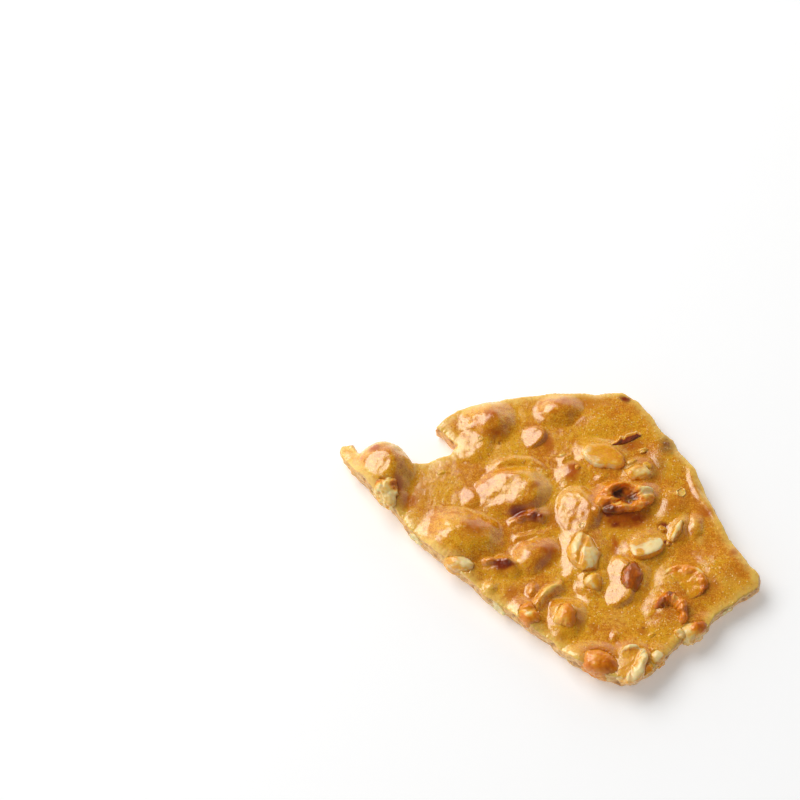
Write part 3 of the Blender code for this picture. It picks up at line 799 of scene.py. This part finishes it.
# Pale patches. Those at (-1.4, 17.4), (-5.0, -4.6), (-14.6, -14.8), (0.8, 36.6), (8.4, 1.6) and (34.5, 11.6)
# are painted highlights where slopes and rims face the softbox. Those at (-44.6, 19.8) and (-0.2, -15.8) are
# partly painted highlight and partly paler candy. Those at (16.5, -23.5) and (44.0, -13.5) are painted light
# on the flats. The rest is pale candy and nut flesh.
PALE_AND_LIT = (
    (-44.6, 19.8, 2.6, 4.4, 20, 0.4), (-27.0, -5.6, 4.0, 2.2, -40, 0.6), (-22.4, -7.8, 4.2, 2.2, -40, 0.8),
    (-1.4, 17.4, 1.6, 3.4, 40, 0.35), (-5.0, -4.6, 3.6, 2.0, 30, 0.3), (-0.2, -15.8, 1.5, 5.4, -42, 0.9),
    (5.2, -34.6, 3.4, 3.2, -45, 1.0), (23.6, 17.6, 4.8, 3.2, 10, 0.7), (33.2, 1.8, 1.4, 3.6, -28, 0.8),
    (26.2, -33.0, 2.8, 2.2, 0, 0.9), (51.4, -12.0, 2.4, 3.8, 0, 0.9), (-14.6, -14.8, 2.2, 1.8, 0, 0.6),
    (38.4, -1.8, 1.8, 1.8, 0, 0.5), (0.8, 36.6, 2.4, 2.8, 0, 0.4), (8.4, 1.6, 3.6, 2.4, 0, 0.4),
    (16.5, -23.5, 6.0, 5.0, 0, 0.3), (44.0, -13.5, 7.0, 4.6, 0, 0.3), (37.2, 3.0, 1.8, 3.0, 0, 0.6),
    (34.5, 11.6, 1.6, 1.6, 0, 1.0),
)
WANDER = 0.55  # how far a patch's edge wanders
WANDER_LENGTH = 2.2
HALO_REACH = 1.6
SHADE_SHIFT = 0.5  # towards the front right, away from the softbox: partly a nut's toasted foot, partly painted shade beside it
HALO_STRENGTH = 0.28
FROTH_REACH = 2.2
EDGE_GLOW_REACH = 3.6
EDGE_GLOW = 0.95


def tint(stains, x, y):
    """How strongly the stains, a row of numbers each, show at each point, from 0 to 1."""
    level = np.zeros_like(x)
    wx = x + WANDER * grain(x, y, level + 20, WANDER_LENGTH)
    wy = y + WANDER * grain(x, y, level + 40, WANDER_LENGTH)
    shown = np.zeros_like(x)
    for stain in (Stain(*row) for row in stains):
        out = np.clip(oval_distance(wx, wy, stain), 0, 1)
        shown = np.maximum(shown, stain.strength * (1 - out**2) ** 1.5)
    return shown


def round_nut(nut, reach, shift=0.0, strength=1.0):
    """A stain that reaches past a peanut on all sides."""
    half_sides = (nut.length / 2 + reach, nut.width / 2 + reach)
    return Stain(nut.x + shift, nut.y - shift, *half_sides, nut.turn, strength)


def attribute(mesh, name, values):
    """A number or a vector at each point of a mesh, for its material to read, or one number for them all."""
    values = np.asarray(values, np.float32)
    if not values.ndim:
        values = np.full(len(mesh.vertices), values)
    kind, field = ("FLOAT", "value") if values.ndim == 1 else ("FLOAT_VECTOR", "vector")
    layer = mesh.attributes.new(name, kind, "POINT")
    layer.data.foreach_set(field, values.ravel())


cx, cy, _ = candy_points.T
# Brown rings round each nut, shifted towards the front right: partly toasted tint, partly painted shade.
halos_and_shade = [round_nut(nut, HALO_REACH, SHADE_SHIFT, HALO_STRENGTH * nut.halo) for nut in TOP_PEANUTS]
froth_rings = [round_nut(nut, FROTH_REACH) for nut in TOP_PEANUTS]
# A pale band along the rim: painted glow and painted highlight on the thin edge.
near_edge = np.clip(1 - distance_to(coarse_rim, cx, cy) / EDGE_GLOW_REACH, 0, 1)
attribute(candy_data, "toasted", np.maximum(tint(TOASTED_AND_SHADE, cx, cy), tint(halos_and_shade, cx, cy)))
attribute(candy_data, "skin", tint(SKINS_AND_SHADE, cx, cy))
attribute(candy_data, "greyed", tint(GREYED, cx, cy))
attribute(candy_data, "frothy", tint(froth_rings, cx, cy))
attribute(candy_data, "pale", np.maximum(tint(PALE_AND_LIT, cx, cy), EDGE_GLOW * near_edge**1.3))
attribute(candy_data, "broken", candy_broken)
attribute(candy_data, "pitted", candy_pits)

# ---------------------------------------------------------------------------------------------------------
# The candy's finish.
# It is boiled sugar full of fine air bubbles: deep amber where it is clear, and pale gold where it is
# frothy. It set glossy on top, and broke with a duller, streaky and pitted face.

DEEP_GOLD = (0.6, 0.18, 0.002)
AMBER = (0.76, 0.24, 0.002)
GOLD = (0.8, 0.315, 0.003)
LIGHT_GOLD = (0.93, 0.45, 0.012)
FROTH = (0.95, 0.66, 0.2)
PALE_GOLD = (1.0, 0.61, 0.12)
TOAST_AND_SHADE = (0.56, 0.12, 0.001)
SKIN_AND_SHADE = (0.28, 0.03, 0.003)
GREY = (0.2, 0.1, 0.025)
BROKEN_PALE = (1.0, 0.61, 0.2)
BROKEN_DARK = (0.68, 0.28, 0.04)
BROKEN_PIT_SHADE = (0.4, 0.12, 0.006)


def texture(where, size, detail, rough=0.5):
    """Noise with features of about size, in millimetres."""
    inputs = {"Vector": where, "Scale": 1 / (size * MM), "Detail": detail, "Roughness": rough}
    return where.node("TexNoise", inputs)


def cells(where, size):
    """Round cells of about size, in millimetres: 1 at the middle of each."""
    return 1 - where.node("TexVoronoi", {"Vector": where, "Scale": 1 / (size * MM)}, out="Distance")


def squashed(where, scale):
    """The places with each axis scaled. A texture comes out longer along an axis that is scaled down."""
    return where.node("VectorMath", {"Vector": where, "Vector_001": scale}, operation="MULTIPLY")


def read(start, *names):
    """The numbers that a mesh's attributes hold at each point."""
    return [start.node("Attribute", {}, out="Fac", attribute_name=name) for name in names]


def add_relief(height, depth, strength, shader):
    """Raises the surface by a height of 0 to 1, as much as depth in millimetres."""
    inputs = {"Height": height, "Distance": depth * MM, "Strength": strength}
    height.node("Bump", inputs).feeds(shader, "Normal")


def candy_finish():
    """Amber and glossy on top, and paler, streaky and duller where the candy broke."""
    material, start, shader = new_finish(
        "golden_candy", Subsurface_Weight=0.3, Subsurface_Radius=(1.0, 0.4, 0.12), Subsurface_Scale=0.0009,
        IOR=1.72, Specular_Tint=(0.95, 0.96, 0.86, 1.0), Coat_Roughness=0.04, Coat_IOR=1.5,
    )
    toasted, skin, greyed, pale, frothy, broken, pitted = read(
        start, "toasted", "skin", "greyed", "pale", "frothy", "broken", "pitted"
    )
    where = start.node("TexCoord", {}, out="Object")
    clouds = texture(where, 9, 3)
    flecks = texture(where, 1.1, 3, rough=0.65)
    fine = texture(where, 0.34, 3, rough=0.7)
    streaks = texture(squashed(where, (1, 1, 2.4)), 1.6, 4, rough=0.65)
    bubbles = cells(where, 0.9).between(0.7, 0.92) * clouds.between(0.36, 0.56)
    froth = cells(where, 0.5).between(0.6, 0.85) * (frothy * flecks * 2).between(0.3, 0.9)
    breakup = (flecks - 0.5) * 1.5 + (fine - 0.5) * 0.3
    mottled = clouds * 0.3 + flecks * 0.35 + fine * 0.35

    gold = blend_colour(clouds.between(0.4, 0.6), AMBER, GOLD)
    colour = blend_colour(mottled.between(0.44, 0.6), gold, LIGHT_GOLD)
    colour = blend_colour((1 - mottled).between(0.48, 0.64) * 0.8, colour, DEEP_GOLD)
    colour = blend_colour(fine.between(0.52, 0.66) * 0.5, colour, PALE_GOLD)
    colour = blend_colour((1 - fine).between(0.52, 0.66) * 0.6, colour, DEEP_GOLD)
    colour = blend_colour(bubbles * 0.5 + froth * 0.6, colour, FROTH)
    # Besides real toast and skin, the pale patches paint highlights and edge glow, and the toasted and skin
    # patches paint shade.
    for stain, stain_colour, low, high in (
        (pale, PALE_GOLD, 0.02, 0.95), (toasted, TOAST_AND_SHADE, 0.02, 0.95), (greyed, GREY, 0.0, 1.2),
        (skin, SKIN_AND_SHADE, 0.1, 0.9),
    ):
        colour = blend_colour((stain + breakup * stain).between(low, high), colour, stain_colour)
    wall = blend_colour((streaks * 0.7 + fine * 0.3).between(0.4, 0.58), BROKEN_DARK, BROKEN_PALE)
    # The pits are painted darker, as shade inside them.
    wall = blend_colour(pitted.between(0.1, 0.6) * 0.8, wall, BROKEN_PIT_SHADE)
    blend_colour(broken * 0.9, colour, wall).feeds(shader, "Base Color")

    frosted = (flecks * 0.6 + fine * 0.4).between(0.52, 0.64)
    (0.045 + 0.11 * frosted + 0.24 * broken).feeds(shader, "Roughness")
    ((1 - 0.6 * broken) * (0.4 - 0.2 * frosted)).feeds(shader, "Coat Weight")
    relief = fine * 0.25 + flecks * 0.8 + bubbles * 0.8 + froth * 0.5 + streaks * broken * 2.5
    add_relief(relief, 0.14, 0.6, shader)
    return material


golden_candy = candy_finish()
candy_data.materials.append(golden_candy)
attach(candy, "root")
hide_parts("candy")

# ---------------------------------------------------------------------------------------------------------
# The rims of burst bubbles.
# Where a bubble of air came up through the soft candy and burst, its rim set as a thin wavy ring, half sunk
# in the face round it and a little paler.

# (x, y, radius, thickness of the rim)
BUBBLES = ((34.4, 11.7, 1.15, 0.36), (-16.4, 27.0, 0.6, 0.22), (8.6, 1.8, 0.55, 0.2))
BUBBLE_PALE = 0.8
RING_STEPS = 48
TUBE_STEPS = 12


def bubble_ring(x, y, radius, thick):
    """Points and quads of one ring."""
    round_ring = np.linspace(0, 2 * np.pi, RING_STEPS, endpoint=False)
    round_tube = np.linspace(0, 2 * np.pi, TUBE_STEPS, endpoint=False)
    wavy = np.array([noise.noise(Vector((math.cos(a), math.sin(a), x)) * 1.7) for a in round_ring])
    middle = radius * (1 + 0.3 * wavy)
    cos, sin = np.cos(round_ring), np.sin(round_ring)
    ground = upper_face(x + middle * cos, y + middle * sin)
    tube = thick / 2 * (1 + 0.9 * np.roll(wavy, RING_STEPS // 3))
    out = middle[:, None] + tube[:, None] * np.cos(round_tube)
    z = ground[:, None] + tube[:, None] * (0.4 + 1.3 * np.sin(round_tube))
    points = np.stack([x + out * cos[:, None], y + out * sin[:, None], z], axis=-1)
    quads = []
    for i in range(RING_STEPS):
        for j in range(TUBE_STEPS):
            a, b = (i + 1) % RING_STEPS, (j + 1) % TUBE_STEPS
            quads.append((i * TUBE_STEPS + j, a * TUBE_STEPS + j, a * TUBE_STEPS + b, i * TUBE_STEPS + b))
    return points.reshape(-1, 3), quads


ring_points, ring_quads = [], []
for bubble in BUBBLES:
    points, quads = bubble_ring(*bubble)
    ring_quads += [tuple(len(ring_points) + corner for corner in quad) for quad in quads]
    ring_points += points.tolist()
rings_data = smooth_mesh("burst_bubbles", ring_points, ring_quads)
for name in ("toasted", "skin", "greyed", "frothy", "broken", "pitted"):
    attribute(rings_data, name, 0.0)
attribute(rings_data, "pale", BUBBLE_PALE)
rings_data.materials.append(golden_candy)
rings = placed("burst_bubbles", rings_data)
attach(rings, "root")

# ---------------------------------------------------------------------------------------------------------
# The peanuts.
# Each is a roasted nut or half with a crinkled surface and a face that is domed, flat or hollow. It is held
# where it lies by the candy, which coats its foot and has run over some of it.

SEGMENTS = 96
PROFILE_POINTS = 36
# Size and level of each form's surface, from the middle of its base to the middle of its upper face.
FORMS = {
    "half": ((0, 0), (0.8, 0), (0.97, 0.08), (1, 0.24), (0.95, 0.5), (0.79, 0.77), (0.46, 0.95), (0, 1)),
    "coin": ((0, 0), (0.84, 0), (0.97, 0.14), (1, 0.46), (0.98, 0.76), (0.9, 0.94), (0.6, 1), (0, 0.97)),
    "egg": ((0, 0), (0.45, 0.06), (0.82, 0.24), (1, 0.5), (0.82, 0.78), (0.45, 0.95), (0, 1)),
}
UPPER_FROM = {"dish": 0.74, "coin": 0.66, "half": 0.6, "egg": 0.74}  # share of rows below the upper face
THINNEST, THICKEST = 0.06, 0.84  # of a dish's rim
OUTLINE_WOBBLE = 0.13
DENTS = ((1.0, 2.4), (0.5, 0.8))  # (share of the crinkle, length)
UPPER_CRINKLE = 0.4  # of what the sides have
SNAP_ROUGHNESS = 0.35
SNAP_LENGTH = 1.1
SNAP_PALER = 0.2
SNAP_CLEAR = 0.3  # how far above the candy a broken end has to be to stay bare
GROOVE_WIDTH = 0.8
GROOVE_DEPTH = 0.45
GLAZE_REACH = 1.2  # how far above the candy round it a nut is still coloured by it
GLAZED_GROOVE = 0.7
GLAZED_SIDE = 0.9
MARK_REACH = 1.4  # in radii, where a mark has faded out
DRIP_REACH = 1.3
STEEP = (0.93, 0.42)  # how level a side is where its glaze starts, and over how much tilt it is complete


def smooth_curve(points, count):
    """Points along a smooth curve through some others. Each may be a whole row of numbers."""
    p = np.concatenate([points[:1], points, points[-1:]])
    spans = len(points) - 1
    found = []
    for t in np.linspace(0, spans, count):
        i = min(int(t), spans - 1)
        u = t - i
        a, b, c, d = p[i : i + 4]
        square, cube = (2 * a - 5 * b + 4 * c - d) * u**2, (3 * b - a - 3 * c + d) * u**3
        found.append(0.5 * (2 * b + (c - a) * u + square + cube))
    return np.array(found)


def round_the_rim(nut, angles, item):
    """An item of the rim's table at every angle, with smooth steps between the entries."""
    degrees = np.array([entry[0] for entry in nut.rim], float) % 360
    order = np.argsort(degrees)
    values = np.array([entry[item] for entry in nut.rim])[order]
    degrees = degrees[order]
    degrees = np.concatenate([degrees[-1:] - 360, degrees, degrees[:1] + 360])
    values = np.concatenate([values[-1:], values, values[:1]])
    at = np.degrees(angles) % 360
    step = np.searchsorted(degrees, at, side="right") - 1
    share = (at - degrees[step]) / (degrees[step + 1] - degrees[step])
    return values[step] + (values[step + 1] - values[step]) * share**2 * (3 - 2 * share)


def profile_rows(nut, angles, ragged):
    """Size and level of a nut's surface, row by row from the middle of its base to the middle of its top."""
    if nut.form != "dish":
        points = np.array(FORMS[nut.form])[:, :, None] * np.ones_like(angles)
        return smooth_curve(points, PROFILE_POINTS)
    thick = np.clip(round_the_rim(nut, angles, 1) * (1 + 0.35 * ragged), THINNEST, THICKEST)
    high = round_the_rim(nut, angles, 2) * (1 + 0.16 * np.roll(ragged, SEGMENTS // 5))
    still = np.ones_like(angles)
    floor = (1 - nut.depth) * still
    points = (
        (0 * still, 0 * still), (0.5 * still, 0.03 * still), (0.86 * still, 0.25 * high),
        (still, 0.62 * high), (1 - 0.12 * thick, 0.88 * high), (1 - 0.5 * thick, high),
        (1 - 0.86 * thick, 0.8 * high + 0.2 * floor), (1 - 1.12 * thick, 0.3 * high + 0.7 * floor),
        (0.5 * (1 - 1.1 * thick), floor), (0 * still, floor),
    )
    return smooth_curve(np.array(points), PROFILE_POINTS)


def whole_surface(nut, seed):
    """The nut's closed surface about its own middle, with its long axis along X, before it is dented."""
    angles = np.linspace(0, 2 * np.pi, SEGMENTS, endpoint=False)
    round_it = [Vector((math.cos(a), math.sin(a), 0)) for a in angles]
    wobble = np.array([noise.noise(seed + r * 1.3) + 0.25 * noise.noise(seed + r * 3) for r in round_it])
    wobble = 1 + OUTLINE_WOBBLE * wobble
    ragged = np.array([noise.noise(seed + r * 2.2) + 0.15 * noise.noise(seed + r * 5) for r in round_it])
    rows = profile_rows(nut, angles, ragged)
    shape = bmesh.new()
    rings = []
    for size, level in rows[1:-1]:
        along = np.cos(angles) * size * wobble
        across = np.sin(angles) * size * wobble * (1 - nut.taper * along)
        z = (level - 0.5) * nut.height
        rings.append([shape.verts.new(p) for p in zip(along * nut.length / 2, across * nut.width / 2, z)])
    for lower, upper in zip(rings, rings[1:]):
        for i in range(SEGMENTS):
            j = (i + 1) % SEGMENTS
            shape.faces.new((lower[i], lower[j], upper[j], upper[i]))
    for ring, level, flip in ((rings[0], rows[0][1].mean(), True), (rings[-1], rows[-1][1].mean(), False)):
        pole = shape.verts.new((0, 0, (level - 0.5) * nut.height))
        for i in range(SEGMENTS):
            j = (i + 1) % SEGMENTS
            shape.faces.new((pole, ring[j], ring[i]) if flip else (pole, ring[i], ring[j]))
    return shape


def dent(shape, nut, seed):
    """Crinkles the surface, and gives a mask of its upper face."""
    shape.normal_update()
    rows = np.arange(len(shape.verts)) // SEGMENTS
    upper = (rows > UPPER_FROM[nut.form] * PROFILE_POINTS).astype(float)
    for vertex, is_upper in zip(shape.verts, upper):
        crinkle = nut.crinkle * (UPPER_CRINKLE if is_upper else 1)
        vertex.co += vertex.normal * sum(
            share * crinkle * noise.noise(seed + vertex.co / length) for share, length in DENTS
        )
    return upper


def snap(shape, nut, seed):
    """Breaks its ends off with a rough face, and gives a mask of that face."""
    snapped = np.zeros(len(shape.verts))
    for degrees, share in nut.cuts:
        out = Vector((*heading(degrees), 0))
        end = share * math.hypot(out.x * nut.length / 2, out.y * nut.width / 2)
        for number, vertex in enumerate(shape.verts):
            along = vertex.co - out * vertex.co.dot(out)
            over = vertex.co.dot(out) - end - SNAP_ROUGHNESS * noise.noise(seed + along / SNAP_LENGTH)
            if over > 0:
                vertex.co -= out * over
                snapped[number] = 1.0
    return snapped


def nearness(points, x, y, radius, reach):
    """1 near a place and 0 away from it. It falls to 0 at reach times the radius."""
    return np.clip(reach - np.hypot(points[:, 0] - x, points[:, 1] - y) / radius, 0, 1)


def roast_and_painted_light_of(nut, points):
    """How far the nut is roasted at each point, with its marks, some of which are painted highlights and
    painted shade.
    """
    amount, side = nut.browner
    roast = nut.tone + amount * (points[:, :2] - (nut.x, nut.y)) @ heading(side) / (nut.width / 2)
    for x, y, radius, tone in nut.marks:
        near = nearness(points, x, y, radius, MARK_REACH) * (points[:, 2] > nut.z)
        roast += (tone - roast) * near**2 * (3 - 2 * near)
    return roast


def mesh_of(name, shape):
    """A smooth mesh from a shape in millimetres, which is used up."""
    bmesh.ops.scale(shape, vec=(MM, MM, MM), verts=shape.verts[:])
    mesh = bpy.data.meshes.new(name)
    shape.to_mesh(mesh)
    shape.free()
    mesh.shade_smooth()
    return mesh


def peanut_mesh(nut):
    """A peanut's mesh in its place, with what its material reads at each point."""
    seed = Vector((nut.x, nut.y, 7.0))
    shape = whole_surface(nut, seed)
    upper = dent(shape, nut, seed)
    snapped = snap(shape, nut, seed)
    fibre = np.array([tuple(v.co) for v in shape.verts], np.float32) * MM
    lean = Euler((math.radians(nut.roll), math.radians(-nut.pitch), math.radians(nut.turn)))
    shape.transform(Matrix.Translation((nut.x, nut.y, nut.z)) @ lean.to_matrix().to_4x4())
    points = np.array([tuple(v.co) for v in shape.verts])
    dug = np.zeros(len(points))
    for line in nut.grooves:
        gap, _ = line_distance(line, points[:, 0], points[:, 1])
        dug = np.maximum(dug, np.clip(1 - (gap / GROOVE_WIDTH) ** 2, 0, 1))
    points[:, 2] -= GROOVE_DEPTH * dug * (points[:, 2] > nut.z)
    for vertex, point in zip(shape.verts, points):
        vertex.co = point
    shape.normal_update()
    above = points[:, 2] - upper_face(points[:, 0], points[:, 1])
    level_from, tilt = STEEP
    steep = np.clip((level_from - np.array([v.normal.z for v in shape.verts])) / tilt, 0, 1)
    glazed = nut.coated * np.maximum(np.clip(1 - above / GLAZE_REACH, 0, 1), GLAZED_SIDE * steep)
    glazed = np.maximum(glazed, nut.filled * upper)
    glazed = np.maximum(glazed, GLAZED_GROOVE * dug)
    for x, y, radius in nut.drips:
        glazed = np.maximum(glazed, nearness(points, x, y, radius, DRIP_REACH))
    mesh = mesh_of("peanut_" + nut.name, shape)
    attribute(mesh, "roast", roast_and_painted_light_of(nut, points) - SNAP_PALER * snapped + nut.hollow * upper)
    attribute(mesh, "snapped", snapped * ((above > SNAP_CLEAR) | (nut not in TOP_PEANUTS)))
    attribute(mesh, "glazed", glazed)
    attribute(mesh, "fibre", fibre)
    return mesh


ROASTS = (
    (0.0, (1.0, 0.75, 0.37)), (0.2, (1.0, 0.54, 0.085)), (0.42, (0.86, 0.29, 0.008)),
    (0.65, (0.58, 0.13, 0.004)), (0.85, (0.24, 0.045, 0.006)), (1.0, (0.08, 0.016, 0.006)),
)


def peanut_finish():
    """Nut flesh by how far it was roasted, with the painted highlights and shade of some marks, under
    patches of candy.
    """
    material, start, shader = new_finish(
        "roasted_peanut", Subsurface_Weight=0.6, Subsurface_Radius=(1.0, 0.66, 0.34),
        Subsurface_Scale=0.0018, IOR=1.6, Specular_Tint=(1.0, 0.92, 0.76, 1.0), Coat_Roughness=0.05,
        Coat_IOR=1.5,
    )
    roast, snapped, glazed = read(start, "roast", "snapped", "glazed")
    where = start.node("TexCoord", {}, out="Object")
    fibre = start.node("Attribute", {}, out="Vector", attribute_name="fibre")
    veins = texture(squashed(fibre, (0.22, 1, 1)), 0.9, 3)
    spots = texture(where, 1.6, 3, rough=0.6)
    fine = texture(where, 0.4, 2)
    roast = roast + 0.5 * (spots - 0.5) + 0.22 * (veins - 0.5)
    patches = (glazed + (spots - 0.5) * 1.1 + (veins - 0.5) * 0.9).between(0.06, 0.7)

    flesh = roast.node("ValToRGB", {"Fac": roast}, stops=ROASTS)
    coating = blend_colour((fine * 0.6 + spots * 0.4).between(0.42, 0.6), GOLD, LIGHT_GOLD)
    blend_colour(patches * 0.92, flesh, coating).feeds(shader, "Base Color")
    bare = (1 - patches) * (1 - roast.between(0.25, 0.5))
    (0.1 + 0.2 * bare + 0.16 * fine + 0.3 * snapped).feeds(shader, "Roughness")
    (0.45 - 0.35 * snapped - 0.3 * roast.between(0.3, 0.6)).feeds(shader, "Coat Weight")
    add_relief(veins * 0.5 + fine * 0.3 + spots * 0.4 + snapped * fine, 0.16, 0.7, shader)
    return material


roasted = peanut_finish()
for nut in PEANUTS:
    mesh = peanut_mesh(nut)
    mesh.materials.append(roasted)
    piece = placed("nut_" + nut.name, mesh)
    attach(piece, "root")
    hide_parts("peanut_" + nut.name)
    "toasted_peanut" if nut.tone >= 0.3 else "pale_peanut"

# ---------------------------------------------------------------------------------------------------------
# The crumbs.
# Small lumpy bits broken off the peanuts, which the syrup caught as it set. Each is half sunk in the candy,
# or lies against a nut at the edge.

CRUMB_DETAIL = 3
CRUMB_GLAZE = 0.7  # share of its height that the candy colours


class Crumb(NamedTuple):
    """A small bit of peanut."""

    x: float
    y: float
    length: float
    width: float
    height: float
    turn: float
    tone: float
    sunk: float = 0.5  # share of its height below the candy's face


CRUMBS = [Crumb(*row) for row in (
    (25.3, 23.9, 2.6, 1.4, 1.4, 20, 0.14), (22.2, 20.2, 3.0, 1.8, 1.2, 30, 0.14, 0.6),
    (26.2, 19.2, 2.4, 1.8, 1.2, -20, 0.1, 0.6), (4.4, 22.4, 2.6, 1.4, 1.0, 10, 0.12, 0.6),
    (-26.4, 17.4, 2.2, 1.4, 0.9, 20, 0.2, 0.65), (30.2, -2.8, 2.0, 1.5, 1.2, 60, 0.84, 0.6),
    (8.2, 18.6, 1.8, 1.4, 1.0, 40, 0.55, 0.6), (24.6, -27.6, 2.2, 1.4, 0.9, 20, 0.24, 0.65),
    (23.0, -37.0, 3.4, 2.6, 1.8, 50, 0.5), (36.6, -24.4, 2.6, 1.8, 1.4, 30, 0.56),
    (31.6, -27.4, 3.0, 2.4, 1.8, -40, 0.02), (29.4, 1.2, 2.6, 1.8, 1.4, -40, 0.86, 0.55),
)]


def crumbs_mesh():
    """Every crumb in one mesh, with what the peanuts' material reads."""
    shape = bmesh.new()
    roast, glazed, fibre = [], [], []
    for crumb in CRUMBS:
        seed = Vector((crumb.x, crumb.y, 3.0))
        made = bmesh.ops.create_icosphere(shape, subdivisions=CRUMB_DETAIL, radius=1)["verts"]
        turn = Matrix.Rotation(math.radians(crumb.turn), 4, "Z")
        ground = float(upper_face(np.array([crumb.x]), np.array([crumb.y]))[0])
        middle = Vector((crumb.x, crumb.y, ground + (0.5 - crumb.sunk) * crumb.height))
        for vertex in made:
            lumpy = 1 + 0.5 * noise.noise(seed + vertex.co * 1.1) + 0.2 * noise.noise(seed + vertex.co * 3)
            x, y, z = vertex.co * lumpy
            sized = Vector((x * crumb.length / 2, y * crumb.width / 2, z * crumb.height / 2))
            vertex.co = middle + turn @ sized
            roast.append(crumb.tone)
            glazed.append(max(0.0, min(1.0, 1 - (vertex.co.z - ground) / (CRUMB_GLAZE * crumb.height))))
            fibre.append(tuple(vertex.co * MM))
    mesh = mesh_of("nut_crumbs", shape)
    attribute(mesh, "roast", roast)
    attribute(mesh, "glazed", glazed)
    attribute(mesh, "snapped", 0.0)
    attribute(mesh, "fibre", fibre)
    return mesh


crumbs_data = crumbs_mesh()
crumbs_data.materials.append(roasted)
crumbs = placed("nut_crumbs", crumbs_data)
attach(crumbs, "root")

# ---------------------------------------------------------------------------------------------------------
# The curl of skin.
# A shred of the brown papery skin that roasting loosens from a peanut. It stands up at the back with its
# foot caught in the candy, and leans away.

SKIN_FOOT = ((17.4, 24.8), (21.4, 26.0), (25.2, 28.0))
SKIN_SUNK = 0.3
SKIN_HEIGHT = 1.3
SKIN_LEAN = 1.1
SKIN_THICK = 0.45
SKIN_COLUMNS = 40
SKIN_ROWS = 10
SKIN_SHADE_AND_LIGHT_TONES = (0.9, 0.5, 0.3)  # roast of its front, of its back and of its upper edge; the dark front is painted shade under the curl and the pale edge a painted highlight


def skin_mesh():
    """The curl's points, faces and roast, with painted shade on its front and a painted highlight on its
    upper edge: two walls along its foot, joined at all four edges.
    """
    foot = smooth_curve(np.array(SKIN_FOOT), SKIN_COLUMNS)
    share = np.linspace(0, 1, SKIN_COLUMNS)
    ground = upper_face(foot[:, 0], foot[:, 1]) - SKIN_SUNK
    ragged = 1 + 0.5 * np.array([noise.noise(Vector((x, y, 2.0))) for x, y in foot])
    ends = np.clip(3 * share, 0, 1) * np.clip(4 * (1 - share), 0, 1) ** 0.5
    high = SKIN_HEIGHT * ends * ragged + SKIN_SUNK
    points, roast = [], []
    for side in (0, 1):
        for row in range(SKIN_ROWS):
            up = row / (SKIN_ROWS - 1)
            lean = SKIN_LEAN * up**1.6 * high / SKIN_HEIGHT
            ripple = 0.12 * np.sin(9 * share + 2 * up) * up
            back = lean + ripple + side * SKIN_THICK
            points.append(np.column_stack([foot[:, 0] - 0.1 * back, foot[:, 1] + back, ground + up * high]))
            roast.append(np.full(SKIN_COLUMNS, SKIN_SHADE_AND_LIGHT_TONES[side] if up < 0.8 else SKIN_SHADE_AND_LIGHT_TONES[2]))
    behind = SKIN_ROWS * SKIN_COLUMNS
    faces = []
    for side in (0, 1):
        for row in range(SKIN_ROWS - 1):
            for i in range(SKIN_COLUMNS - 1):
                a = side * behind + row * SKIN_COLUMNS + i
                face = (a, a + 1, a + 1 + SKIN_COLUMNS, a + SKIN_COLUMNS)
                faces.append(face[::-1] if side else face)
    for row, flip in ((0, True), (SKIN_ROWS - 1, False)):
        for i in range(SKIN_COLUMNS - 1):
            a = row * SKIN_COLUMNS + i
            b = a + behind
            faces.append((a, b, b + 1, a + 1) if flip else (a, a + 1, b + 1, b))
    for column, flip in ((0, False), (SKIN_COLUMNS - 1, True)):
        for row in range(SKIN_ROWS - 1):
            a = row * SKIN_COLUMNS + column
            b = a + behind
            face = (a, a + SKIN_COLUMNS, b + SKIN_COLUMNS, b)
            faces.append(face[::-1] if flip else face)
    return np.concatenate(points), faces, np.concatenate(roast)


skin_points, skin_faces, skin_roast_and_light = skin_mesh()
skin_data = smooth_mesh("nut_skin", skin_points, skin_faces)
attribute(skin_data, "roast", skin_roast_and_light)
attribute(skin_data, "glazed", 0.0)
attribute(skin_data, "snapped", 0.0)
attribute(skin_data, "fibre", skin_points * MM)
skin_data.materials.append(roasted)
skin_curl = placed("nut_skin", skin_data)
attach(skin_curl, "root")
